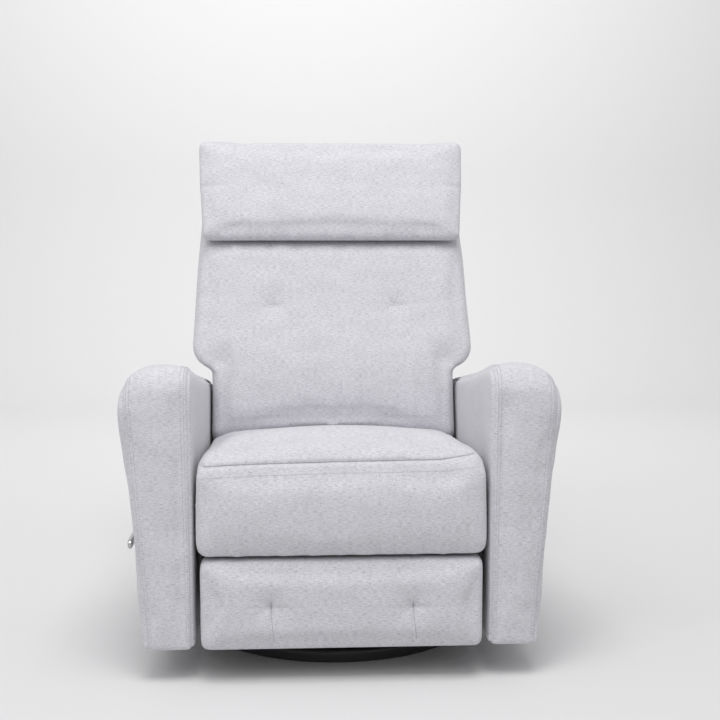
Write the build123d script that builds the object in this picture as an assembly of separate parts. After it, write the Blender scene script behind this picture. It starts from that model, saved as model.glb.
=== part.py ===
from build123d import *
import os
from math import cos, radians, sin

os.makedirs("parts", exist_ok=True)

# A swivel glider recliner for a nursery. All lengths are millimetres.
# +Z is up, the front of the chair faces -Y, and the origin is on the swivel axis at floor level.

# ---- running fits -------------------------------------------------------------------------------
PIN_FIT = 0.05             # radial clearance of every pivot pin in its hole
FACE_GAP = 0.3             # side clearance between two links that turn on each other

# ---- floor ring and swivel bearing --------------------------------------------------------------
RING_RADIUS = 278.0        # centre line of the floor ring
RING_WIDTH = 25.0          # width of the ring's section
RING_TOP = 28.0            # height of the ring's top above the floor
RING_ROUND = 10.0          # rounding of the ring's top edges
PAD_THICK = 4.0            # plastic glide strip under the ring
PAD_WIDTH = 18.0
SPOKES = 4
SPOKE_WIDTH = 32.0
SPOKE_LOW, SPOKE_HIGH = 9.0, 22.0
HUB_RADIUS = 95.0
HUB_LOW, HUB_HIGH = 8.0, 26.0
BALLS = 24
BALL_RADIUS = 5.0
BALL_CIRCLE = 76.0         # radius of the circle the ball centres lie on
BALL_LEVEL = 38.0          # height of the ball centres
RACE_OUTER = 92.0
RACE_GAP = 1.5             # each race's face to the ball centre plane
RACE_THICK = 10.0
CAGE_THICK = 2.4
CAGE_WIDTH = 16.0
KINGPIN_RADIUS = 12.0
NUT_RADIUS = 21.0
NUT_THICK = 9.0
NUT_GAP = 0.1              # running gap under the nut

# ---- glider carriage ----------------------------------------------------------------------------
LOWER_RACE_LOW = HUB_HIGH
LOWER_RACE_HIGH = BALL_LEVEL - RACE_GAP
UPPER_RACE_LOW = BALL_LEVEL + RACE_GAP
UPPER_RACE_HIGH = UPPER_RACE_LOW + RACE_THICK
PLATE_THICK = 6.0
PLATE_HALF_X = 194.0
PLATE_HALF_Y = 78.0
NUT_ROOM = 4.0                          # clear space round the kingpin nut
PLATE_LOW = UPPER_RACE_HIGH
PLATE_HIGH = PLATE_LOW + PLATE_THICK
RACE_BOLTS = 4
BOLT_CIRCLE, BOLT_RADIUS, BOLT_HEAD, BOLT_CAP = 62.0, 5.0, 9.0, 5.0
STAND_IN, STAND_OUT = 189.0, 194.0      # the stand plates, in |x|
STAND_FOOT = 34.0                       # width of the foot flange
STAND_TOP = 306.0
STAND_SHOULDER = 18.0                   # metal past each glide pivot, fore and aft
STAND_EAR = 20.0                        # metal below each glide pivot
LINK_TOP = 290.0                        # height of the fixed glide pivots
LINK_LENGTH = 120.0                     # hanging length of every glide link
LINK_SPREAD = 130.0                     # each glide pivot's distance fore and aft of the centre
LINK_IN = STAND_OUT + FACE_GAP
LINK_OUT = LINK_IN + 5.0
LINK_WIDTH = 26.0
GLIDE_PIN = 6.0
PIN_HEAD = 10.0
HEAD_THICK = 4.0
HANGER_IN = LINK_OUT + FACE_GAP         # the seat's hanger plates, in |x|
HANGER_OUT = HANGER_IN + 4.0
HANGER_TOP = 340.0
HANGER_EAR = 16.0                       # metal round each lower glide pivot
HANGER_LOW = LINK_TOP - LINK_LENGTH - HANGER_EAR
HANGER_STEP = 8.0                       # the hanger's rear edge steps back this much
HANGER_HEAD, HANGER_CORNER = 60.0, 40.0 # heights of its upper band and cut front corner
TUBE_RADIUS = 10.0
TUBE_WALL = 2.0
TUBE_LEVEL = 322.0
TUBE_PLACES = (-60.0, 135.0)            # front and rear cross tubes, in y
RAIL_LOW, RAIL_HIGH = 312.0, 344.0      # wooden seat rails
FRONT_RAIL, REAR_RAIL = (-345.0, -318.0), (84.0, 106.0)
SPRING_PLACES = (-200.0, -100.0, 0.0, 100.0, 200.0)
SPRING_WIRE = 1.7                       # radius of the sinuous wire
SPRING_REACH = (-330.0, 98.0)           # in y
SPRING_LOOPS = 16
SPRING_SWING = 22.0                     # each loop's reach to either side
DECK_THICK = 1.1                        # felt sheet over the springs
DECK_HALF, DECK_REACH = 250.0, (-335.0, 105.0)

# ---- recliner mechanism planes, in |x| ----------------------------------------------------------
SIDE_IN, SIDE_OUT = 262.0, 266.0        # slotted side plates
PLATE_BOLTS = ((-325.0, 318.0), (-86.0, 318.0), (60.0, 330.0), (150.0, 335.0))   # (y, z)
PLATE_BOLT, PLATE_SPACER = 4.0, 8.0     # radii of the bolts and their spacers
DRIVE_IN, DRIVE_OUT = 256.7, 261.7      # drive links
LINKS_IN, LINKS_OUT = 251.4, 256.4      # ottoman links
BRACKET_IN, BRACKET_OUT = 246.1, 251.1  # ottoman brackets
BRACKET_FLANGE = 24.0
SIDE_TOP = 345.0
SIDE_OUTLINE = [                        # the side plate's lower outline, front to back, (y, z)
    (-342, SIDE_TOP), (-342, 180), (-322, 148), (-110, 148), (-66, 176), (-54, 290),
]
BAR_WIDTH = 18.0
BAR_PIN = 5.0
BAR_HEAD = 8.0
BAR_CAP = 3.0                           # thickness of the pin heads
TORQUE_TUBE, TORQUE_BORE = 12.0, 9.5    # radii of the tube between the drive links

# ---- footrest linkage, side view (y, z) ---------------------------------------------------------
DRIVE_PIVOT = (-234.0, 326.0)           # drive link on the side plate
DRIVE_LENGTH = 159.0                    # to the lower ottoman link's pivot
PIVOT_STEP = 40.0                       # from the lower to the upper ottoman link's pivot
DRIVE_START = 225.0                     # degrees, measured from straight ahead towards up
OTTOMAN_LENGTH = 208.0                  # both ottoman links, pivot to pivot
LINK_START = -15.0                      # degrees, as above
FOOTREST_TRAVEL = 90.0                  # degrees the drive link and the footrest turn
LINK_TRAVEL = 30.0                      # degrees the ottoman links turn meanwhile
TAIL_LENGTH = 30.0                      # slot pin behind the ottoman link's pivot
SLOT_STEPS = 24

# ---- upholstered body ---------------------------------------------------------------------------
ARM_FRONT, ARM_REAR = -385.0, 286.0     # in y
ARM_LOW = 60.0
ARM_INNER = 273.0                       # |x| of the arm's inner face
ARM_FOOT_WIDTH = 90.0
ARM_HEAD_WIDTH = 131.0
ARM_CROWN = 595.0                       # height of the arm at its front
ARM_SHOULDER = 78.0                     # the outer face starts this far below the crown
ARM_POSTS = ((-360.0, -320.0), (228.0, 268.0))    # in y
ARM_RAILS = ((64.0, 110.0), (338.0, 376.0))       # in z
FRAME_INSET, FRAME_WIDTH = 16.0, 57.0   # the wooden frame inside the arm, in x
APRON_Y, APRON_Z = (258.0, 283.0), (66.0, 334.0)
ARM_LEAN = (ARM_HEAD_WIDTH - ARM_FOOT_WIDTH) / (ARM_CROWN - ARM_SHOULDER - ARM_LOW)
ARM_FALL = 0.15                         # drop of the arm's top per millimetre towards the back
ARM_SPLIT = 505.0                       # the top pad starts here
PANEL_THICK = 14.0
FRONT_THICK = 20.0
DECK = 350.0                            # underside of the seat cushion
SEAT_TOP = 452.0
SEAT_CREST = -300.0                     # the seat's top falls towards the back from here, in y
SEAT_REAR_TOP = 387.0
BACK_GAP = 3.0                          # space between the seat and the back cushion
SEAT_HALF = 270.0
SEAT_FRONT, SEAT_REAR = -405.0, 108.0
SEAT_ROUND, FRONT_PAD_ROUND = 45.0, 34.0     # front edges, top and bottom
FRONT_PAD_LOW = 237.0
FRONT_PAD_REAR = -348.0
REST_HALF = 259.0                       # footrest half width
REST_LOW, REST_HIGH = 60.0, 233.0
REST_REAR = -346.0
REST_ROUND = 26.0
BOARD_THICK = 12.0
BOARD_INSET = 6.0

# ---- back, upright in its own frame before it is leaned -----------------------------------------
BACK_PIVOT = (205.0, 350.0)             # recline hinge, (y, z)
BACK_LEAN = 21.0                        # degrees back from upright
PIVOT_BOSS = 15.0                       # rounded end of the side plate at the recline hinge
CUSHION_FACE, CUSHION_REAR = -168.0, -26.0   # d, front negative
FRAME_FACE, FRAME_REAR = -25.0, 19.0
SHELL_FACE, SHELL_REAR = 19.5, 34.0
SHELL_RIM = -25.5                       # the outside back wraps forward to here
SHELL_LOW, SHELL_HIGH = 8.0, 678.0
SHELL_INNER = 258.0                     # |x| of the wrap's inner side, clear of the posts
HEADREST_FACE = -186.0
HEADREST_ROLL = 60.0                    # rounding of the headrest's top front edge
HEADREST_LOW, HEADREST_HIGH = 424.0, 692.0
CUSHION_LOW = -30.0                     # the lower cushion starts here, cut off over the seat
CUSHION_HIGH = 600.0                    # top of the back cushion and the frame, under the headrest
BACK_HALF = 312.0                       # half width at the wings
NECK_HALF = 271.0                       # half width between the arms
WING_LEVEL = 533.0                      # the wings' undersides, above the floor
HEADREST_HALF = 306.0
POST_IN, POST_OUT = 222.0, 252.0        # back posts, in |x|
POST_LOW = -14.0
BACK_RAILS = ((0, 40), (262, 300), (556, 596))   # low and high edge of each back rail
RAIL_INSET = 4.0
HINGE_THICK, HINGE_HIGH = 5.0, 110.0             # steel plate beside each post
STRAPS = (90, 150, 210, 330, 390, 450, 510)      # low edge of each webbing strap
STRAP_WIDTH, STRAP_THICK = 40.0, 0.9

# ---- release lever on the sitter's right-hand arm (-X) ------------------------------------------
LEVER_AXIS = (-196.0, 257.0)            # (y, z)
LEVER_NEAR, LEVER_FAR = 7.5, 13.5       # the handle's faces, out from the arm
LEVER_REACH = 158.0
LEVER_WIDTH = 17.0
LEVER_ROUND = 2.5
SHAFT_RADIUS = 6.0
SHAFT_ROOM = 9.0                        # radius of the shaft's way through the arm's panels
PLATE_RADIUS, PLATE_PROUD, PLATE_DEEP = 19.0, 3.0, 5.0     # escutcheon
PAWL_IN, PAWL_OUT = SIDE_OUT + 1, SIDE_OUT + 5


def export(name, shape):
    """Write one named piece."""
    export_step(shape, f"parts/{name}.step")


def side_plate_between(points, low, high):
    """A flat piece cut from a (y, z) outline, filling x from low to high."""
    outline = make_face(Polyline(points, close=True))
    return extrude(Plane.YZ.offset(low) * outline, high - low)


def front_plate_between(wire_or_points, low, high):
    """A piece cut from an (x, z) outline, filling y from low to high."""
    if isinstance(wire_or_points, list):
        wire_or_points = Polyline(wire_or_points, close=True)
    outline = make_face(wire_or_points)
    return extrude(Plane.XZ.offset(-low) * outline, low - high)


def box_between(low, high):
    """A box from its two opposite corners."""
    size = [b - a for a, b in zip(low, high)]
    middle = [(a + b) / 2 for a, b in zip(low, high)]
    return Pos(*middle) * Box(*size)


def rod_x(radius, place, low, high):
    """A round rod along X at (y, z)."""
    middle = (low + high) / 2
    return Pos(middle, place[0], place[1]) * Rot(0, 90, 0) * Cylinder(radius, high - low)


def disc_z(radius, low, high, bore=0.0):
    """A round plate standing on the swivel axis."""
    plate = Pos(0, 0, (low + high) / 2) * Cylinder(radius, high - low)
    if bore:
        plate -= Pos(0, 0, (low + high) / 2) * Cylinder(bore, high - low)
    return plate


def both_sides(part):
    """The part and its mirror image across the chair's middle."""
    return Part() + [part, mirror(part, about=Plane.YZ)]


def bar_between(start, end, width, low, high):
    """A flat link with round ends, from one (y, z) pivot to another."""
    along = (end[0] - start[0], end[1] - start[1])
    length = (along[0] ** 2 + along[1] ** 2) ** 0.5
    side = (-along[1] / length * width / 2, along[0] / length * width / 2)
    corners = [
        (start[0] + side[0], start[1] + side[1]),
        (end[0] + side[0], end[1] + side[1]),
        (end[0] - side[0], end[1] - side[1]),
        (start[0] - side[0], start[1] - side[1]),
    ]
    bar = side_plate_between(corners, low, high)
    bar += rod_x(width / 2, start, low, high)
    bar += rod_x(width / 2, end, low, high)
    return bar


def pin_hole(place, radius, low, high):
    """The hole that a pin of this radius runs in."""
    return rod_x(radius + PIN_FIT, place, low - 1, high + 1)


def offset_point(start, length, degrees):
    """A (y, z) point at a distance; degrees run from straight ahead (-Y) towards up."""
    turn = radians(degrees)
    return (start[0] - length * cos(turn), start[1] + length * sin(turn))


def linkage(share):
    """The footrest linkage's pivots when it is this share of the way open, 0 to 1."""
    drive = DRIVE_START + FOOTREST_TRAVEL * share
    link = LINK_START + LINK_TRAVEL * share
    lower = offset_point(DRIVE_PIVOT, DRIVE_LENGTH, drive)
    upper = offset_point(DRIVE_PIVOT, DRIVE_LENGTH + PIVOT_STEP, drive)
    return {
        "lower": lower,
        "upper": upper,
        "lower_end": offset_point(lower, OTTOMAN_LENGTH, link),
        "upper_end": offset_point(upper, OTTOMAN_LENGTH, link),
        "tail": offset_point(lower, TAIL_LENGTH, link + 180.0),
    }


def leaned(part):
    """A back piece, turned from upright to the back's resting lean about the recline hinge."""
    return Pos(0, BACK_PIVOT[0], BACK_PIVOT[1]) * Rot(-BACK_LEAN, 0, 0) * part


# ---- base: stands on the floor ------------------------------------------------------------------
def floor_pad_ring():
    """Plastic strip that the steel ring stands on."""
    outer = disc_z(RING_RADIUS + PAD_WIDTH / 2, 0, PAD_THICK)
    return outer - disc_z(RING_RADIUS - PAD_WIDTH / 2, 0, PAD_THICK)


def base_ring():
    """Steel ring with a flat underside and a rounded top."""
    height = RING_TOP - PAD_THICK
    section = Pos(RING_RADIUS, PAD_THICK + height / 2) * Rectangle(RING_WIDTH, height)
    top = section.vertices().sort_by(Axis.Y)[-2:]
    section = fillet(top, RING_ROUND)
    return revolve(Plane.XZ * section, Axis.Z)


def base_spokes():
    """Flat spokes from the hub to the inside of the ring."""
    reach = disc_z(RING_RADIUS - RING_WIDTH / 2, SPOKE_LOW, SPOKE_HIGH, HUB_RADIUS)
    spokes = Part()
    for k in range(SPOKES):
        bar = box_between((0, -SPOKE_WIDTH / 2, SPOKE_LOW), (RING_RADIUS, SPOKE_WIDTH / 2, SPOKE_HIGH))
        spokes += Rot(0, 0, 45 + 360 / SPOKES * k) * bar & reach
    return spokes


def race_plate(low, high, bore):
    """Bearing plate with its half of the ball groove."""
    groove = Pos(0, 0, BALL_LEVEL) * Torus(BALL_CIRCLE, BALL_RADIUS + PIN_FIT)
    return disc_z(RACE_OUTER, low, high, bore) - groove


def ball_places():
    """Centres of the bearing balls."""
    for k in range(BALLS):
        yield Rot(0, 0, 360 / BALLS * k) * Pos(BALL_CIRCLE, 0, BALL_LEVEL)


def bearing_balls():
    """Steel balls between the two races."""
    return Part() + [place * Sphere(BALL_RADIUS) for place in ball_places()]


def ball_cage():
    """Flat ring that spaces the balls."""
    low, high = BALL_LEVEL - CAGE_THICK / 2, BALL_LEVEL + CAGE_THICK / 2
    cage = disc_z(BALL_CIRCLE + CAGE_WIDTH / 2, low, high, BALL_CIRCLE - CAGE_WIDTH / 2)
    for place in ball_places():
        cage -= place * Cylinder(BALL_RADIUS + PIN_FIT, CAGE_THICK * 2)
    return cage


def kingpin():
    """Centre pin with the washer nut that keeps the carriage on the base."""
    low = LOWER_RACE_LOW
    nut_low = UPPER_RACE_HIGH + NUT_GAP
    pin = disc_z(KINGPIN_RADIUS, low, nut_low)
    nut = Pos(0, 0, nut_low + NUT_THICK / 2) * extrude(
        RegularPolygon(NUT_RADIUS, 6), NUT_THICK / 2, both=True
    )
    return pin + nut


# ---- carriage: swivels on the base --------------------------------------------------------------
def carriage_plate():
    """Cross plate bolted to the upper race, clear of the kingpin nut."""
    plate = box_between((-PLATE_HALF_X, -PLATE_HALF_Y, PLATE_LOW), (PLATE_HALF_X, PLATE_HALF_Y, PLATE_HIGH))
    return plate - disc_z(NUT_RADIUS + NUT_ROOM, PLATE_LOW, PLATE_HIGH)


def glide_stand():
    """Right-hand upright plate that the glide links hang from."""
    foot = PLATE_HALF_Y
    shoulder = LINK_SPREAD + STAND_SHOULDER
    outline = [
        (-foot, PLATE_HIGH), (foot, PLATE_HIGH), (shoulder, LINK_TOP - STAND_EAR),
        (shoulder, STAND_TOP), (-shoulder, STAND_TOP), (-shoulder, LINK_TOP - STAND_EAR),
    ]
    plate = side_plate_between(outline, STAND_IN, STAND_OUT)
    flange_top = PLATE_HIGH + STAND_OUT - STAND_IN
    plate += box_between((STAND_IN - STAND_FOOT, -foot, PLATE_HIGH), (STAND_IN, foot, flange_top))
    for y in (-LINK_SPREAD, LINK_SPREAD):
        plate -= pin_hole((y, LINK_TOP), GLIDE_PIN, STAND_IN, STAND_OUT)
    return plate


def race_bolts():
    """Bolts through the carriage plate into the upper race."""
    bolts = Part()
    for k in range(RACE_BOLTS):
        place = Rot(0, 0, 360 / RACE_BOLTS * (k + 0.5)) * Pos(BOLT_CIRCLE, 0, 0)
        bolts += place * disc_z(BOLT_RADIUS, UPPER_RACE_HIGH - RACE_THICK / 2, PLATE_HIGH)
        bolts += place * disc_z(BOLT_HEAD, PLATE_HIGH, PLATE_HIGH + BOLT_CAP)
    return bolts


# ---- glide links: swing under the carriage's stands ---------------------------------------------
def glide_links(y):
    """Two hanging links, one each side."""
    top, low = (y, LINK_TOP), (y, LINK_TOP - LINK_LENGTH)
    link = bar_between(top, low, LINK_WIDTH, LINK_IN, LINK_OUT)
    return both_sides(link - glide_pin_shape(y))


def glide_pin_shape(y):
    """One side's pins: the upper one runs in the stand, the lower one in the hanger."""
    top, low = (y, LINK_TOP), (y, LINK_TOP - LINK_LENGTH)
    upper_head = STAND_IN - FACE_GAP
    lower_head = HANGER_OUT + FACE_GAP
    pins = rod_x(GLIDE_PIN, top, upper_head, LINK_OUT)
    pins += rod_x(PIN_HEAD, top, upper_head - HEAD_THICK, upper_head)
    pins += rod_x(GLIDE_PIN, low, LINK_IN, lower_head)
    pins += rod_x(PIN_HEAD, low, lower_head, lower_head + HEAD_THICK)
    return pins


def glide_pins(y):
    """Both sides' pivot pins of one pair of links."""
    return both_sides(glide_pin_shape(y))


# ---- seat frame: hangs on the links and carries the whole chair ---------------------------------
def glide_hanger():
    """Right-hand plate between the cross tubes and the links' lower pins."""
    shoulder = LINK_SPREAD + HANGER_EAR
    rear = shoulder + HANGER_STEP
    outline = [
        (-shoulder, HANGER_LOW), (shoulder, HANGER_LOW), (rear, HANGER_TOP - HANGER_HEAD),
        (rear, HANGER_TOP), (-shoulder, HANGER_TOP), (-shoulder, HANGER_LOW + HANGER_CORNER),
    ]
    plate = side_plate_between(outline, HANGER_IN, HANGER_OUT)
    for y in (-LINK_SPREAD, LINK_SPREAD):
        plate -= pin_hole((y, LINK_TOP - LINK_LENGTH), GLIDE_PIN, HANGER_IN, HANGER_OUT)
    for y in TUBE_PLACES:
        plate -= rod_x(TUBE_RADIUS, (y, TUBE_LEVEL), HANGER_IN - 1, HANGER_OUT + 1)
    return plate - seat_rail(*REAR_RAIL)


def cross_tube(y):
    """Steel tube joining the two side plates, open at its ends."""
    tube = rod_x(TUBE_RADIUS, (y, TUBE_LEVEL), -SIDE_IN, SIDE_IN)
    return tube - rod_x(TUBE_RADIUS - TUBE_WALL, (y, TUBE_LEVEL), -SIDE_IN, SIDE_IN)


def tail_slot():
    """The curved slot that the ottoman link's tail pin runs in."""
    slot = Part()
    radius = BAR_PIN + 2 * PIN_FIT
    places = [linkage(k / SLOT_STEPS)["tail"] for k in range(SLOT_STEPS + 1)]
    path = Spline([(y, z) for y, z in places])
    band = trace(path, 2 * radius)
    slot = extrude(Plane.YZ.offset(SIDE_IN - 1) * band, SIDE_OUT - SIDE_IN + 2)
    for place in (places[0], places[-1]):
        slot += rod_x(radius, place, SIDE_IN - 1, SIDE_OUT + 1)
    return slot


def recliner_side_plate():
    """Right-hand plate with the drive pivot, the cam slot and the recline pivot."""
    y, z = BACK_PIVOT
    neck = [
        (y - 40, z - 30), (y, z - PIVOT_BOSS), (y, z + PIVOT_BOSS),
        (y - 25, z + PIVOT_BOSS), (y - 70, SIDE_TOP),
    ]
    plate = side_plate_between(SIDE_OUTLINE + neck, SIDE_IN, SIDE_OUT)
    plate += rod_x(PIVOT_BOSS, BACK_PIVOT, SIDE_IN, SIDE_OUT)
    plate -= pin_hole(DRIVE_PIVOT, BAR_PIN, SIDE_IN, SIDE_OUT)
    plate -= pin_hole(BACK_PIVOT, GLIDE_PIN, SIDE_IN, SIDE_OUT)
    return plate - tail_slot()


def plate_bolts():
    """Right-hand bolts and spacers that hold the side plate to the arm."""
    bolts = Part()
    for place in PLATE_BOLTS:
        bolts += rod_x(PLATE_BOLT, place, SIDE_IN, ARM_INNER)
        bolts += rod_x(PLATE_SPACER, place, SIDE_OUT, ARM_INNER)
    return bolts


def seat_rail(low, high):
    """Wooden cross rail that the seat springs clip to."""
    return box_between((-SIDE_IN, low, RAIL_LOW), (SIDE_IN, high, RAIL_HIGH))


def seat_springs():
    """Sinuous wires running from the front rail to the rear rail."""
    start, end = SPRING_REACH
    pitch = (end - start) / SPRING_LOOPS
    level = DECK - DECK_THICK - 0.1 - SPRING_WIRE
    springs = Part()
    for x in SPRING_PLACES:
        points = [(x, start)]
        for k in range(SPRING_LOOPS):
            side = x + (SPRING_SWING if k % 2 else -SPRING_SWING)
            points += [(side, start + pitch * k), (side, start + pitch * (k + 1))]
        points.append((x, end))
        path = Plane.XY.offset(level) * FilletPolyline(points, radius=pitch * 0.4)
        section = Plane(path @ 0, z_dir=path % 0) * Circle(SPRING_WIRE)
        springs += sweep(section, path=path)
    return springs


def seat_deck():
    """Felt sheet between the springs and the cushion."""
    front, rear = DECK_REACH
    return box_between((-DECK_HALF, front, DECK - DECK_THICK), (DECK_HALF, rear, DECK))


def seat_cushion():
    """Top cushion of the seat, highest near the front and pitched down to the back."""
    outline = [
        (SEAT_FRONT, DECK), (SEAT_REAR, DECK), (SEAT_REAR, SEAT_REAR_TOP),
        (SEAT_CREST, SEAT_TOP), (SEAT_FRONT, SEAT_TOP),
    ]
    block = side_plate_between(outline, -SEAT_HALF, SEAT_HALF)
    front_top = block.edges().filter_by(Axis.X).sort_by(Axis.Y)[:2].sort_by(Axis.Z)[-1:]
    return fillet(front_top, SEAT_ROUND)


def seat_front_pad():
    """Padded front border that falls from the seat cushion to the footrest."""
    block = box_between((-SEAT_HALF, SEAT_FRONT, FRONT_PAD_LOW), (SEAT_HALF, FRONT_PAD_REAR, DECK - 0.1))
    low_front = block.edges().filter_by(Axis.X).sort_by(Axis.Z)[:2].sort_by(Axis.Y)[:1]
    return fillet(low_front, FRONT_PAD_ROUND)


def arm_crown(drop):
    """Points over the arm's top, inner side to outer side, lowered by a drop."""
    top = ARM_CROWN - drop
    inner, outer = ARM_INNER, ARM_INNER + ARM_HEAD_WIDTH
    return [
        (inner, top - 44), (inner + 16, top - 12), (inner + 52, top),
        (outer - 34, top - 12), (outer - 7, top - 36), (outer, top - ARM_SHOULDER),
    ]


def arm_section(low, drop):
    """Front view of the right arm from a level up: crowned top, leaning outer face."""
    crown = arm_crown(drop)
    lean = ARM_LEAN * (crown[-1][1] - low)
    foot = [crown[-1], (crown[-1][0] - lean, low), (ARM_INNER, low), crown[0]]
    return make_face(Curve() + [Spline(crown), Polyline(foot)])


def arm_top_pad():
    """Crowned pad on top of the arm, its top falling towards the back."""
    start = ARM_FRONT + FRONT_THICK
    front = Plane.XZ.offset(-start) * arm_section(arm_low_level(), ARM_FALL * FRONT_THICK)
    rear = Plane.XZ.offset(-ARM_REAR) * arm_section(arm_low_level(), arm_drop())
    return loft([front, rear])


def arm_drop():
    """How much lower the arm's top is at its rear end."""
    return ARM_FALL * (ARM_REAR - ARM_FRONT)


def arm_low_level():
    """Height where the side panels end and the top pad starts."""
    return ARM_SPLIT - arm_drop()


def arm_inner_panel():
    """Padded panel on the arm's inner face."""
    return box_between(
        (ARM_INNER, ARM_FRONT + FRONT_THICK, ARM_LOW),
        (ARM_INNER + PANEL_THICK, ARM_REAR - PANEL_THICK, arm_low_level()),
    )


def arm_width(level):
    """Width of the arm at a height on its leaning side."""
    return ARM_FOOT_WIDTH + ARM_LEAN * (level - ARM_LOW)


def arm_outer_panel():
    """Padded panel on the arm's leaning outer face."""
    low, high = ARM_LOW, arm_low_level()
    foot, head = ARM_INNER + arm_width(low), ARM_INNER + arm_width(high)
    outline = [(foot, low), (head, high), (head - PANEL_THICK, high), (foot - PANEL_THICK, low)]
    return front_plate_between(outline, ARM_FRONT + FRONT_THICK, ARM_REAR - PANEL_THICK)


def arm_rear_panel():
    """Padded panel that closes the rear end of the arm."""
    low, high = ARM_LOW, arm_low_level()
    foot, head = ARM_INNER + arm_width(low), ARM_INNER + arm_width(high)
    outline = [(foot, low), (head, high), (ARM_INNER, high), (ARM_INNER, low)]
    return front_plate_between(outline, ARM_REAR - PANEL_THICK, ARM_REAR)


def arm_front_panel():
    """Padded front of the arm with the arched outline."""
    return extrude(Plane.XZ.offset(-ARM_FRONT) * arm_section(ARM_LOW, 0.0), -FRONT_THICK)


def arm_frame():
    """Wooden posts and rails inside the arm."""
    inner = ARM_INNER + FRAME_INSET
    outer = inner + FRAME_WIDTH
    pieces = []
    for low, high in ARM_POSTS:
        pieces.append(box_between((inner, low, ARM_LOW + 3), (outer, high, arm_low_level() - 42)))
    for low, high in ARM_RAILS:
        pieces.append(box_between((inner, ARM_POSTS[0][1], low), (outer, ARM_POSTS[1][0], high)))
    return Compound(pieces)


def rear_apron():
    """Upholstered rail that closes the body below the back."""
    half = ARM_INNER - 1
    return box_between((-half, APRON_Y[0], APRON_Z[0]), (half, APRON_Y[1], APRON_Z[1]))


# ---- footrest linkage ---------------------------------------------------------------------------
REST = linkage(0.0)


def drive_link():
    """Right-hand bar from the side plate's pivot to both ottoman links."""
    bar = bar_between(DRIVE_PIVOT, REST["upper"], BAR_WIDTH, DRIVE_IN, DRIVE_OUT)
    bar += rod_x(BAR_PIN, DRIVE_PIVOT, DRIVE_OUT, SIDE_OUT + FACE_GAP)
    bar += rod_x(BAR_HEAD, DRIVE_PIVOT, SIDE_OUT + FACE_GAP, SIDE_OUT + FACE_GAP + BAR_CAP)
    for place in (REST["lower"], REST["upper"]):
        bar -= pin_hole(place, BAR_PIN, DRIVE_IN, DRIVE_OUT)
    return bar


def drive_tube():
    """Torque tube that makes both drive links turn together."""
    tube = rod_x(TORQUE_TUBE, DRIVE_PIVOT, -DRIVE_IN, DRIVE_IN)
    return tube - rod_x(TORQUE_BORE, DRIVE_PIVOT, -DRIVE_IN, DRIVE_IN)


def ottoman_link(start, end, tail=None):
    """Right-hand bar from the drive link to the ottoman bracket."""
    bar = bar_between(start, end, BAR_WIDTH, LINKS_IN, LINKS_OUT)
    if tail:
        bar += bar_between(start, tail, BAR_WIDTH, LINKS_IN, LINKS_OUT)
        bar += rod_x(BAR_PIN, tail, LINKS_OUT, SIDE_OUT + 1)
    bar += rod_x(BAR_PIN, start, LINKS_OUT, DRIVE_OUT - FACE_GAP)
    return bar - pin_hole(end, BAR_PIN, LINKS_IN, LINKS_OUT)


def ottoman_bracket():
    """Right-hand bracket on the footrest board, with the pins for both ottoman links."""
    lower, upper = REST["lower_end"], REST["upper_end"]
    rear = REST_REAR + BOARD_THICK
    outline = [
        (rear, lower[1] + 18), (lower[0] + 6, lower[1] + 14), (upper[0] + 13, upper[1] + 4),
        (upper[0] + 8, upper[1] - 13), (upper[0] - 8, upper[1] - 13), (rear, upper[1] - 2),
    ]
    plate = side_plate_between(outline, BRACKET_IN, BRACKET_OUT)
    for place in (lower, upper):
        plate += rod_x(BAR_PIN, place, BRACKET_OUT, LINKS_OUT)
    inner = BRACKET_IN - BRACKET_FLANGE
    flange = box_between((inner, rear, upper[1] - 2), (BRACKET_OUT, rear + 3, lower[1] + 18))
    return plate + flange


def footrest_board():
    """Plywood board behind the footrest's padding."""
    half = REST_HALF - BOARD_INSET
    low, high = REST_LOW + BOARD_INSET, REST_HIGH - BOARD_INSET
    return box_between((-half, REST_REAR, low), (half, REST_REAR + BOARD_THICK, high))


def footrest_cushion():
    """Padded face of the footrest."""
    block = box_between((-REST_HALF, SEAT_FRONT, REST_LOW), (REST_HALF, REST_REAR, REST_HIGH))
    front = block.edges().group_by(Axis.Y)[0]
    return fillet(front, REST_ROUND)


# ---- back ---------------------------------------------------------------------------------------
def back_slab(half, face, rear, low, high):
    """A plain slab of the back, leaned."""
    return leaned(box_between((-half, face, low), (half, rear, high)))


def below(level):
    """Everything under a height."""
    return box_between((-600, -600, -10), (600, 900, level))


def wing_trim():
    """Everything below the wings and outside the neck between the arms."""
    return both_sides(box_between((NECK_HALF, -600, 0), (600, 900, WING_LEVEL)))


def back_upper_cushion():
    """Back cushion above the arms, with the wings."""
    slab = back_slab(BACK_HALF, CUSHION_FACE, CUSHION_REAR, 100, CUSHION_HIGH)
    return slab - below(WING_LEVEL)


def seat_room():
    """The space that the seat takes under the back cushion."""
    outline = [
        (-600, 0), (900, 0), (900, SEAT_REAR_TOP + BACK_GAP), (SEAT_REAR, SEAT_REAR_TOP + BACK_GAP),
        (SEAT_CREST, SEAT_TOP + BACK_GAP), (-600, SEAT_TOP + BACK_GAP),
    ]
    return side_plate_between(outline, -600, 600)


def back_lower_cushion():
    """Back cushion between the arms, down to the seat."""
    slab = back_slab(NECK_HALF, CUSHION_FACE, CUSHION_REAR, CUSHION_LOW, 400)
    slab -= box_between((-600, -600, WING_LEVEL - 0.1), (600, 900, 1200))
    return slab - seat_room()


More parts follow.
